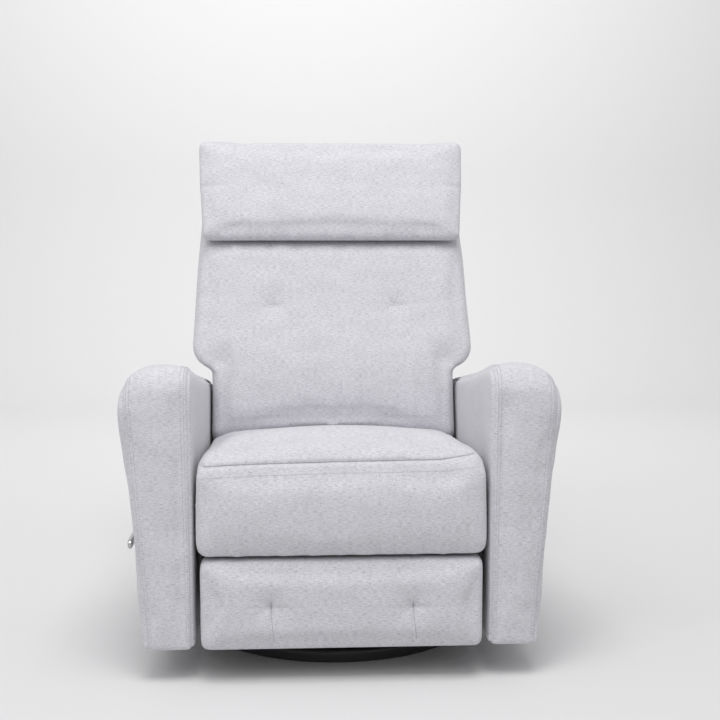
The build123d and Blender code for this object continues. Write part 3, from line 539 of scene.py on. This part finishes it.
def make_footrest():
    """Footrest pad: two pinched tufts, each with a crease that runs down to the hem."""
    low, high = (-FOOT_HALF, -0.397, FOOT_LOW), (FOOT_HALF, -0.331, FOOT_HIGH)
    block = rounded_box(low, high, (0.014, 0.020, 0.014))
    piece = stuffed("footrest_pad", [block], lambda p: p, 0.005)

    def cap(p):
        level = np.minimum(p[:, 2] - FOOT_LOW, FOOT_HIGH - p[:, 2])
        edge = np.minimum(FOOT_HALF - np.abs(p[:, 0]), level)
        return 0.0008 + 0.010 * ramp(edge, 0.0, 0.045)

    inflate(piece, cap, lambda p: p[:, 1] > -0.350, slack=0.003)
    points, normals = refine(piece)
    x, _, z = points.T
    front = ramp(-normals[:, 1], 0.3, 0.8)
    near_hem = np.exp(-(z - 0.062) / 0.02) + np.exp(-(0.231 - z) / 0.02)
    hem = 0.0016 * ripple(x, 0.041, 0.7) * near_hem
    points += normals * ((hem - foot_crease(x, z)) * front)[:, None]
    place(piece, points)
    finish_cloth(piece, "footrest", ["footrest_cushion"])


def back_half(z):
    """Half width of the back at a height: neck between the arms, round-ended wings, tapered head."""
    wide = np.interp(z, (0.57, 0.64, 0.82, 0.99), (0.316, 0.312, 0.301, 0.292))
    share = np.clip((z - WING_LEVEL + 0.002) / 0.050, 0, 1)
    return NECK_HALF + (wide - NECK_HALF) * np.sqrt(1 - (1 - share) ** 2)


def back_shape(points):
    """Back block: recessed behind the headrest, leaned, cut to rest over the seat, and outlined."""
    x, d, h = points.T
    d = d + 0.012 * ramp(h, 0.415, 0.450) * ramp(-d, 0.05, 0.15)
    d = d - 0.012 * np.exp(-((h - 0.13) / 0.09) ** 2) * ramp(-d, 0.05, 0.15)
    flat = lean(np.stack([x, d, h], 1))
    flat[:, 0] *= back_half(flat[:, 2]) / BACK_HALF
    aside = np.abs(flat[:, 0])
    floor = np.maximum(0.458 - SEAT_PITCH * (flat[:, 1] - SEAT_CREST), 0.391)
    floor = floor - 0.030 * (aside / 0.27) ** 2 - 0.008 * ramp(aside, 0.23, 0.27)
    flat[:, 2] = np.maximum(flat[:, 2], floor)
    return flat


def back_crease(x, h):
    """How far in the back's tufts draw it: soft dimples, each with a curved lip and a level pull."""
    depth = bpy.context.scene.glider_sizes.back_tuft
    total = 0
    for a, b in BACK_TUFTS:
        lip = 0.0026 * dent(h - b + 0.007 - 22 * (x - a) ** 2, 0.0032) * dent(x - a, 0.012)
        pull = 0.0010 * dent(h - b, 0.005) * fade(x - a, 0.045)
        total = total + tuft(x - a, h - b, depth, 0.034) + lip + pull
    return total


def make_back():
    """Back cushion with its wings and two tufts."""
    low, high = (-BACK_HALF, -0.158, -0.028), (BACK_HALF, -0.028, 0.600)
    block = rounded_box(low, high, (0.020, 0.048, 0.022))
    piece = stuffed("back_pad", [block], back_shape)

    def held(p):
        q = unlean(p)
        return (q[:, 1] > -0.040) | (q[:, 2] > 0.47)

    def cap(p):
        q = unlean(p)
        edge = back_half(p[:, 2]) - np.abs(p[:, 0])
        return 0.0012 + 0.012 * ramp(edge, 0.0, 0.06) * ramp(0.45 - q[:, 2], 0.0, 0.06)

    inflate(piece, cap, held, slack=0.005)
    points, normals = refine(piece)
    x, _, h = unlean(points).T
    front = ramp(-normals[:, 1], 0.3, 0.8)
    low = fade(h - 0.045, 0.040)
    sag = 0.0030 * ripple(x, 0.110, 0.9) * low + 0.0016 * ripple(x, 0.043, 2.0) * low
    tuck = 0.0018 * ripple(x, 0.055, 1.7) * fade(h - 0.420, 0.03)
    points += normals * ((sag + tuck - back_crease(x, h)) * front)[:, None]
    place(piece, points)
    finish_cloth(piece, "back", ["back_upper_cushion", "back_lower_cushion"])


def headrest_shape(points):
    """Headrest block: wider at the top, leaned."""
    x, d, h = points.T
    x = x * np.interp(h, (0.424, 0.56, 0.69), (0.955, 0.985, 1.0))
    h = h - 0.010 * ramp(h, 0.62, 0.69) * (x / 0.30) ** 2
    return lean(np.stack([x, d, h], 1))


def make_headrest():
    """Headrest pad: a proud front that rolls over the top of the back."""
    half = BACK_HALF
    front = rounded_box((-half, -0.196, 0.426), (half, -0.160, 0.678), (0.016, 0.017, 0.018))
    roll = rounded_box((-half, -0.196, 0.606), (half, 0.015, 0.678), (0.016, 0.045, 0.035))
    piece = stuffed("headrest_pad", [front, roll], headrest_shape)

    def held(p):
        q = unlean(p)
        return (q[:, 1] > -0.170) & (q[:, 2] < 0.612)

    def cap(p):
        q = unlean(p)
        inside = ramp(BACK_HALF - np.abs(p[:, 0]), 0.0, 0.05)
        return 0.001 + 0.010 * inside * ramp(q[:, 2], 0.43, 0.47)

    inflate(piece, cap, held, slack=0.005)
    points, normals = refine(piece)
    x, _, h = unlean(points).T
    front = ramp(-normals[:, 1], 0.3, 0.8)
    low = fade(h - 0.430, 0.022)
    pinch = sum(fade(x - a, 0.004) for a in HEAD_GATHERS) * fade(h - 0.428, 0.012)
    gather = 0.0022 * ripple(x, 0.050, 0.5) * low - 0.0022 * pinch
    inward = 0.29 - np.abs(x)
    side = np.exp(-inward / 0.05) * dent(h - 0.552 + 0.06 * inward, 0.006)
    sag = 0.0035 * np.sin(np.clip((h - 0.43) / 0.12, 0, 1) * math.pi) * np.cos(x * math.pi / 0.62)
    points += normals * ((gather - 0.0018 * side + sag) * front)[:, None]
    place(piece, points)
    finish_cloth(piece, "back", ["headrest_cushion"])


def outside_back_shape(points):
    """Outside back: fuller in the middle, leaned, then drawn to the back's outline."""
    x, d, h = points.T
    d = d + 0.004 * ramp(d, 0.024, 0.033) * np.cos(np.clip(x / 0.31, -1, 1) * math.pi / 2)
    flat = lean(np.stack([x, d, h], 1))
    flat[:, 0] *= np.minimum(back_half(flat[:, 2]) + 0.002, 0.310) / 0.308
    return flat


def make_outside_back():
    """Cloth over the outside of the back, wrapped forward round the frame at both sides."""
    half, wrap = 0.307, 0.2785
    sheet = rounded_box((-half, 0.0205, 0.010), (half, 0.0335, 0.676), (0.008, 0.0062, 0.008), 0.007)
    parts = [sheet]
    for inner, outer in ((-half, -wrap), (wrap, half)):
        parts.append(rounded_box((inner, -0.0250, 0.170), (outer, 0.0335, 0.600), (0.008, 0.008, 0.010)))
    piece = stuffed("outside_back", parts, outside_back_shape, 0.0055)
    points, normals = refine(piece)
    x, _, h = unlean(points).T
    rear = ramp(normals[:, 1], 0.4, 0.8)
    seam = dent(np.abs(x) - 0.235, 0.0032) + dent(h - 0.452, 0.0032)
    hem = dent(h - 0.034, 0.003)
    soft = 0.0012 * ripple(x, 0.16, 0.4) * ripple(h, 0.21, 1.9)
    points += normals * ((-0.0030 * np.clip(seam + hem, 0, 1) + soft) * rear)[:, None]
    place(piece, points)
    finish_cloth(piece, "back", ["back_outer_panel"])


def make_apron():
    """Padded rail that closes the body below the back."""
    block = rounded_box((-0.271, 0.2585, 0.067), (0.271, 0.2825, 0.333), (0.006, 0.008, 0.008))
    piece = stuffed("rear_apron_cover", [block], lambda p: p, 0.006)
    points, normals = refine(piece)
    x, _, z = points.T
    rear = ramp(normals[:, 1], 0.5, 0.9)
    hem = dent(z - 0.088, 0.003)
    points += normals * ((0.0012 * ripple(x, 0.13, 0.8) - 0.0024 * hem) * rear)[:, None]
    place(piece, points)
    finish_cloth(piece, "seat_frame", ["rear_apron"])


def arm_top(share, y):
    """Height of the arm's top, by the share of the way across and the place along it.

    The inner side of the ridge is a quarter ellipse that falls 26 mm. The outer side is a quarter
    superellipse, power 2.4, that falls to the shoulder.
    """
    inner = np.clip((ARM_RIDGE - share) / ARM_RIDGE, 0, 1)
    outer = np.clip((share - ARM_RIDGE) / (1 - ARM_RIDGE), 0, 1)
    drop = 0.026 * (1 - np.sqrt(1 - inner ** 2))
    drop = drop + ARM_SHOULDER * (1 - (1 - outer ** 2.4) ** (1 / 2.4))
    return ARM_CROWN - drop - ARM_FALL * (y - ARM_FRONT)


def arm_width(z):
    """Width of the arm at a height: its outer face leans out up to the shoulder."""
    slope = (ARM_HEAD - ARM_FOOT) / (ARM_CROWN - ARM_SHOULDER - ARM_LOW)
    return np.minimum(ARM_FOOT + slope * (z - ARM_LOW), ARM_HEAD)


def arm_place(share, y, rise):
    """Point of the arm from the shares of its width and height: arched top, leaning outer face."""
    z = ARM_LOW + rise * (arm_top(share, y) - ARM_LOW)
    return np.stack([ARM_INNER + share * arm_width(z), y, z], 1)


def arm_shape(points):
    """Arm block from unit shares across and up, its front turned over into the top like a waterfall."""
    x, y, z = points.T
    share = (x - ARM_INNER) / ARM_HEAD
    rise = np.clip((z - ARM_LOW) / (ARM_CROWN - ARM_LOW), 0, 1)
    flat = arm_place(np.clip(share, 0, 1), y, rise)
    depth = arm_top(np.clip(share, 0, 1), y) - flat[:, 2]
    turn = np.clip(1 - depth / ARM_WATERFALL, 0, 1)
    setback = ARM_WATERFALL * (1 - np.sqrt(1 - turn ** 2))
    flat[:, 1] += setback * ramp(ARM_FRONT + 0.30 - y, 0.0, 0.29)
    flat[:, 0] += 0.003 * (share > 0.5)
    return flat


def mirrored(points, quads):
    """The other side's arrays: x changes sign, and each face turns round to look out again."""
    return points * (-1, 1, 1), quads[:, ::-1]


def faces_of(piece):
    """The quads of a mesh as an array."""
    loops = np.zeros(len(piece.data.loops), np.int32)
    piece.data.loops.foreach_get("vertex_index", loops)
    return loops.reshape(-1, 4)


def arm_share(points):
    """The share of the arm's width at points, 0 at the inner face and 1 at the outer."""
    return (np.abs(points[:, 0]) - ARM_INNER) / arm_width(points[:, 2])


def by_lever(points):
    """1 where the release lever sweeps past the outside of the arm, easing to 0 around it."""
    outside = ramp(points[:, 0], ARM_INNER + 0.05, ARM_INNER + 0.07)
    far = ((points[:, 1] - LEVER_PLACE[0]) / 0.11) ** 2 + ((points[:, 2] - LEVER_PLACE[1]) / 0.085) ** 2
    return outside * np.minimum(1, 1.6 * np.exp(-far))


def make_arms():
    """Both arms: one band up the front and over the top, seamed to the two side panels."""
    low = (ARM_INNER, ARM_FRONT, ARM_LOW)
    high = (ARM_INNER + ARM_HEAD, ARM_REAR, ARM_CROWN)
    block = rounded_box(low, high, (0.010, 0.010, 0.009), 0.007)
    body = stuffed("arm_cover_right", [block], arm_shape)

    def cap(p):
        inner = ramp(p[:, 0], ARM_INNER + 0.004, ARM_INNER + 0.03)
        free = 1 - by_lever(p)
        return 0.0008 + 0.006 * inner * free * ramp(p[:, 2], ARM_LOW, ARM_LOW + 0.08)

    inflate(body, cap, lambda p: p[:, 2] < ARM_LOW + 0.01, pressure=2.5, slack=0.003)
    points, normals = refine(body)
    _, y, z = points.T
    side = ramp(np.abs(normals[:, 0]), 0.5, 0.9)
    band = 1 - ramp(np.abs(normals[:, 0]), 0.80, 0.98)
    above = ramp(normals[:, 2], 0.3, 0.8)
    share = arm_share(points)
    seam = sum(dent(share - middle, 0.022) for middle in SEAM_SHARES)
    flow = 0.0010 * ripple(y, 0.21, 0.3) * ripple(z, 0.26, 1.1) * side
    gather = 0.0009 * ripple(y, 0.070, 1.9) * above
    gather = gather + 0.0008 * ripple(z, 0.110, 0.6) * band * (1 - above)
    rear_seam = dent(y - ARM_REAR + 0.016, 0.0032)
    hem = dent(z - ARM_LOW - 0.020, 0.003) * side
    drawn_in = 0.0035 * by_lever(points) * ramp(normals[:, 0], 0.3, 0.8)
    seams = 0.0026 * seam * band + 0.0024 * rear_seam + 0.0014 * hem
    points += normals * (flow + gather - seams - drawn_in)[:, None]
    place(body, points)
    cover = (points, faces_of(body))
    nodes = ("inner_panel", "outer_panel", "rear_panel", "top_pad", "front_panel")
    finish_cloth(body, "seat_frame", [f"arm_{n}_right" for n in nodes])
    body = new_piece("arm_cover_left", *mirrored(*cover))
    finish_cloth(body, "seat_frame", [f"arm_{n}_left" for n in nodes])


# ---- stitching -----------------------------------------------------------------------------------
END_CAPS = ((0, [0, 1, 2, 3]), (0, [0, 3, 4, 5]), (-1, [3, 2, 1, 0]), (-1, [5, 4, 3, 0]))    # (ring, quad)


def stitch_mesh(centres, along, out, length=0.0032, radius=0.00048):
    """Thread dashes: each is a six-sided spindle along the seam, its ends dipping into the cloth."""
    turn = np.linspace(0, 2 * math.pi, 6, endpoint=False)
    stations = np.array([-0.5, -0.25, 0.25, 0.5])
    widths = np.array([0.35, 1.0, 1.0, 0.35])
    lift = np.array([-0.0006, 0.0003, 0.0003, -0.0006])
    side = np.cross(along, out)
    spine = (centres[:, None, None] + along[:, None, None] * (stations * length)[None, :, None, None]
             + out[:, None, None] * lift[None, :, None, None])
    ring = (side[:, None, None] * np.cos(turn)[None, None, :, None]
            + out[:, None, None] * np.sin(turn)[None, None, :, None])
    points = spine + ring * radius * widths[None, :, None, None]
    count = len(centres)
    index = np.arange(count * 24).reshape(count, 4, 6)
    following = np.roll(index, -1, 2)
    sides = np.stack([index[:, :-1], index[:, 1:], following[:, 1:], following[:, :-1]], -1)
    caps = [index[:, row][:, order] for row, order in END_CAPS]
    return points.reshape(-1, 3), np.concatenate([sides.reshape(-1, 4), *caps])


def dropped(path, pitch, direction, skin):
    """Evenly spaced points of a path dropped on a skin, with the skin's normals there."""
    far = np.concatenate([[0], np.cumsum(np.linalg.norm(np.diff(path, axis=0), axis=1))])
    at = np.arange(pitch / 2, far[-1] - pitch / 2, pitch)
    centres = np.stack([np.interp(at, far, path[:, k]) for k in range(3)], 1)
    tree = BVHTree.FromObject(skin, bpy.context.evaluated_depsgraph_get())
    hits = [tree.ray_cast(Vector(c - direction * 0.06), Vector(direction), 0.2) for c in centres]
    centres = np.array([hit[0] for hit in hits if hit[0] is not None])
    out = np.array([hit[1] for hit in hits if hit[0] is not None])
    along = np.gradient(centres, axis=0)
    along /= np.linalg.norm(along, axis=1, keepdims=True)
    out = out - along * np.sum(out * along, 1, keepdims=True)
    return centres, along, out / np.linalg.norm(out, axis=1, keepdims=True)


def sewn(name, body, points, quads, finish):
    """A smooth piece of thread that rides with the cloth it is sewn to."""
    piece = new_piece(name, points, quads)
    piece.data.polygons.foreach_set("use_smooth", np.ones(len(piece.data.polygons), bool))
    piece.data.materials.append(finish)
    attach(piece, body)


def add_stitches(name, body, path, direction, skin):
    """Sews dashes along a path, dropped on the skin in a direction, as one piece."""
    pitch = bpy.context.scene.glider_sizes.stitch_pitch
    sewn(name, body, *stitch_mesh(*dropped(path, pitch, direction, skin)), thread_material())


def add_seam_shade_line(name, body, path, direction, skin, radius):
    """Lays a seam's sewn-down edge in its groove as a thin darker tube, painted shade of the groove:
    six-sided rings along the path, closed at the ends.
    """
    centres, along, out = dropped(path, 0.004, direction, skin)
    turn = np.linspace(0, 2 * math.pi, 6, endpoint=False)
    side = np.cross(along, out)
    order = np.arange(len(centres))
    width = radius * np.minimum(1, 0.05 + np.minimum(order, order[::-1]))
    ring = (side[:, None] * np.cos(turn)[None, :, None] + out[:, None] * np.sin(turn)[None, :, None])
    points = centres[:, None] + ring * width[:, None, None]
    index = np.arange(len(centres) * 6).reshape(-1, 6)
    following = np.roll(index, -1, 1)
    sides = np.stack([index[:-1], index[1:], following[1:], following[:-1]], -1).reshape(-1, 4)
    ends = np.array([index[row, order] for row, order in END_CAPS])
    sewn(name, body, points.reshape(-1, 3), np.concatenate([sides, ends]), seam_shade_material())


def make_stitching():
    """Stitches on the arms' bands and below the seat's seam, and darker tubes laid as painted shade in the
    seat's seam and the footrest's sewn creases.
    """
    count = 160
    rise = np.concatenate([np.linspace(0.03, 1, count), np.ones(count)])
    y = np.concatenate([np.full(count, ARM_FRONT), np.linspace(ARM_FRONT, ARM_REAR - 0.03, count)])
    slanted = np.array([0.0, 0.75, -0.66])
    ahead = np.array([0.0, 1.0, 0.0])
    for side, sign in (("right", 1), ("left", -1)):
        skin = bpy.data.objects[f"arm_cover_{side}"]
        for row, share in STITCH_ROWS.items():
            path = arm_place(np.full(len(y), share), y, rise) * (sign, 1, 1)
            add_stitches(f"arm_stitch_{row}_{side}", "seat_frame", path, slanted, skin)
    seat = bpy.data.objects["seat_pad"]
    x = np.linspace(-0.256, 0.256, 300)
    path = np.stack([x, np.full(300, -0.40), seat_seam(x)], 1)
    # darker tube in the seat's seam groove: painted shade of the seam's gap
    add_seam_shade_line("seat_seam", "seat_frame", path, ahead, seat, 0.0008)
    add_stitches("seat_stitch", "seat_frame", path - (0, 0, 0.0200), ahead, seat)
    pad = bpy.data.objects["footrest_pad"]
    for number, (a, b) in enumerate(FOOT_TUFTS):
        z = np.linspace(b + 0.014, 0.076, 60)
        path = np.stack([a + 0.006 * ramp(b - z, 0.0, 0.08), np.full(60, -0.40), z], 1)
        # darker tube down each crease: painted shade of the crease
        add_seam_shade_line(f"footrest_crease_shade_{number}", "footrest", path, ahead, pad, 0.0006)


# ---- hard parts ----------------------------------------------------------------------------------
def finish_hardware():
    """Gives every shown frame part the finish of its slot."""
    finishes = hard_materials()
    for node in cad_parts.values():
        if node.hide_render:
            continue
        slot = node.material_slots[0].material.name.split(".")[0]
        if slot in finishes:
            node.material_slots[0].material = finishes[slot]


# ---- studio --------------------------------------------------------------------------------------
def area_light(name, place_at, aim, size, power):
    """A soft box that looks at a point."""
    lamp = bpy.data.lights.new(name, "AREA")
    lamp.shape = "RECTANGLE"
    lamp.size, lamp.size_y = size
    lamp.energy = power
    holder = bpy.data.objects.new(name, lamp)
    holder.location = place_at
    holder.rotation_euler = (Vector(aim) - Vector(place_at)).to_track_quat("-Z", "Y").to_euler()
    bpy.context.scene.collection.objects.link(holder)


def make_studio():
    """Pale floor that curves up to a backdrop, soft boxes, even surround light and the camera."""
    look = bpy.context.scene.glider_look
    scene = bpy.context.scene
    scene.view_settings.view_transform = "Standard"
    reach, bend = 3.2, 1.2
    across = np.linspace(-7, 7, 15)
    turn = np.linspace(0, math.pi / 2, 13)
    y = np.concatenate([[-7.0, -3.0, 0.0], reach + bend * np.sin(turn), [reach + bend]])
    z = np.concatenate([[0.0, 0.0, 0.0], bend * (1 - np.cos(turn)), [7.0]])
    grid = np.stack(np.broadcast_arrays(across[None, :], y[:, None], z[:, None]), -1)
    index = np.arange(grid.shape[0] * grid.shape[1]).reshape(grid.shape[:2])
    quads = np.stack([index[:-1, :-1], index[:-1, 1:], index[1:, 1:], index[1:, :-1]], -1)
    floor = new_piece("studio_floor", grid.reshape(-1, 3), quads.reshape(-1, 4))
    floor.data.polygons.foreach_set("use_smooth", np.ones(len(floor.data.polygons), bool))
    paper, _, _ = new_material("seamless_paper", Roughness=0.95, Specular_IOR_Level=0.1,
                               Base_Color=linear("#dcdcdc"))
    floor.data.materials.append(paper)
    world = bpy.data.worlds.new("surround")
    world.use_nodes = True
    back = world.node_tree.nodes["Background"]
    back.inputs["Color"].default_value = linear("#f4f4f6")
    back.inputs["Strength"].default_value = look.surround
    scene.world = world
    area_light("key_box", (-1.6, -2.4, 2.9), (0, 0, 0.6), (1.8, 1.8), look.key)
    area_light("top_box", (0.0, -1.4, 3.6), (0, 0.0, 0.5), (1.8, 1.8), look.key * 2.7)
    area_light("backdrop_box", (0.0, 1.6, 3.4), (0, 4.4, 1.6), (4.0, 1.0), look.key * 3.1)
    camera = bpy.data.objects.new("camera", bpy.data.cameras.new("camera"))
    camera.data.lens, camera.data.sensor_width = 60.65, 36.0
    camera.location = (-0.084, -2.566, 0.821)
    camera.rotation_euler = (math.radians(84.2), 0.0, math.radians(-3.06))
    scene.collection.objects.link(camera)
    scene.camera = camera


# ---- add-on --------------------------------------------------------------------------------------
class GliderSizes(bpy.types.PropertyGroup):
    """Sewing sizes a user may change."""

    back_tuft: bpy.props.FloatProperty(
        name="Back tuft depth", description="How far in the back's two tufts are pulled",
        default=0.011, min=0.0, max=0.03, unit="LENGTH")
    foot_tuft: bpy.props.FloatProperty(
        name="Footrest tuft depth", description="How far in the footrest's two tufts are pulled",
        default=0.010, min=0.0, max=0.02, unit="LENGTH")
    seat_groove: bpy.props.FloatProperty(
        name="Seat seam depth", description="Depth of the groove of the seat's front seam",
        default=0.0036, min=0.0, max=0.01, unit="LENGTH")
    stitch_pitch: bpy.props.FloatProperty(
        name="Stitch pitch", description="Distance from one stitch to the next",
        default=0.0046, min=0.0035, max=0.02, unit="LENGTH")


class GliderLook(bpy.types.PropertyGroup):
    """Colours and lights a user may change."""

    light_yarn: bpy.props.StringProperty(
        name="Light yarn", description="sRGB hex of the palest fibres", default="d6d5da")
    middle_yarn: bpy.props.StringProperty(
        name="Middle yarn", description="sRGB hex of the cloth's main colour", default="c6c5ca")
    dark_yarn: bpy.props.StringProperty(
        name="Dark yarn", description="sRGB hex of the grey flecks", default="a6a5ab")
    surround: bpy.props.FloatProperty(
        name="Surround", description="Strength of the even studio light", default=0.60, min=0.0)
    key: bpy.props.FloatProperty(
        name="Key power", description="Power of the main soft box", default=25.0, min=0.0, unit="POWER")


class GLIDER_OT_studio(bpy.types.Operator):
    """Floor, soft boxes, surround light and camera."""

    bl_idname = "glider.studio"
    bl_label = "Studio"

    def execute(self, _context):
        """Builds it; an error stops the script."""
        make_studio()
        return {"FINISHED"}


class GLIDER_OT_seat(bpy.types.Operator):
    """Stuff and cover the seat cushion."""

    bl_idname = "glider.seat"
    bl_label = "Seat cushion"

    def execute(self, _context):
        """Builds it; an error stops the script."""
        make_seat()
        return {"FINISHED"}


class GLIDER_OT_footrest(bpy.types.Operator):
    """Stuff and cover the footrest pad."""

    bl_idname = "glider.footrest"
    bl_label = "Footrest pad"

    def execute(self, _context):
        """Builds it; an error stops the script."""
        make_footrest()
        return {"FINISHED"}


class GLIDER_OT_back(bpy.types.Operator):
    """Stuff and cover the back cushion."""

    bl_idname = "glider.back"
    bl_label = "Back cushion"

    def execute(self, _context):
        """Builds it; an error stops the script."""
        make_back()
        return {"FINISHED"}


class GLIDER_OT_headrest(bpy.types.Operator):
    """Stuff and cover the headrest pad."""

    bl_idname = "glider.headrest"
    bl_label = "Headrest pad"

    def execute(self, _context):
        """Builds it; an error stops the script."""
        make_headrest()
        return {"FINISHED"}


class GLIDER_OT_outside_back(bpy.types.Operator):
    """Cover the outside of the back."""

    bl_idname = "glider.outside_back"
    bl_label = "Outside back"

    def execute(self, _context):
        """Builds it; an error stops the script."""
        make_outside_back()
        return {"FINISHED"}


class GLIDER_OT_apron(bpy.types.Operator):
    """Cover the rail below the back."""

    bl_idname = "glider.apron"
    bl_label = "Rear apron"

    def execute(self, _context):
        """Builds it; an error stops the script."""
        make_apron()
        return {"FINISHED"}


class GLIDER_OT_arms(bpy.types.Operator):
    """Stuff and cover both arms."""

    bl_idname = "glider.arms"
    bl_label = "Arms"

    def execute(self, _context):
        """Builds it; an error stops the script."""
        make_arms()
        return {"FINISHED"}


class GLIDER_OT_stitching(bpy.types.Operator):
    """Sew the top-stitching and the seams on the covers."""

    bl_idname = "glider.stitching"
    bl_label = "Stitching"

    def execute(self, _context):
        """Builds it; an error stops the script."""
        make_stitching()
        return {"FINISHED"}


class GLIDER_OT_hardware(bpy.types.Operator):
    """Finish the frame and the mechanism."""

    bl_idname = "glider.hardware"
    bl_label = "Hardware finishes"

    def execute(self, _context):
        """Builds it; an error stops the script."""
        finish_hardware()
        return {"FINISHED"}


STEPS = (
    GLIDER_OT_studio,
    GLIDER_OT_seat,
    GLIDER_OT_footrest,
    GLIDER_OT_back,
    GLIDER_OT_headrest,
    GLIDER_OT_outside_back,
    GLIDER_OT_apron,
    GLIDER_OT_arms,
    GLIDER_OT_stitching,
    GLIDER_OT_hardware,
)


class GLIDER_PT_panel(bpy.types.Panel):
    """Lists the building steps in the 3D view's sidebar."""

    bl_label = "Nursery glider"
    bl_space_type = "VIEW_3D"
    bl_region_type = "UI"
    bl_category = "Glider"

    def draw(self, context):
        """One row per step, then the sizes, colours and lights."""
        for step in STEPS:
            self.layout.operator(step.bl_idname)
        for settings in (context.scene.glider_sizes, context.scene.glider_look):
            for name in type(settings).__annotations__:
                self.layout.prop(settings, name)


CLASSES = (GliderSizes, GliderLook, *STEPS, GLIDER_PT_panel)


def register():
    """Adds the classes and the scene's settings."""
    for cls in CLASSES:
        bpy.utils.register_class(cls)
    bpy.types.Scene.glider_sizes = bpy.props.PointerProperty(type=GliderSizes)
    bpy.types.Scene.glider_look = bpy.props.PointerProperty(type=GliderLook)


def unregister():
    """Takes them away again."""
    del bpy.types.Scene.glider_look
    del bpy.types.Scene.glider_sizes
    for cls in reversed(CLASSES):
        bpy.utils.unregister_class(cls)


def main():
    """Builds every piece in order."""
    register()
    bpy.ops.glider.studio()
    bpy.ops.glider.seat()
    bpy.ops.glider.footrest()
    bpy.ops.glider.back()
    bpy.ops.glider.headrest()
    bpy.ops.glider.outside_back()
    bpy.ops.glider.apron()
    bpy.ops.glider.arms()
    bpy.ops.glider.stitching()
    bpy.ops.glider.hardware()


if __name__ == "__main__":
    main()
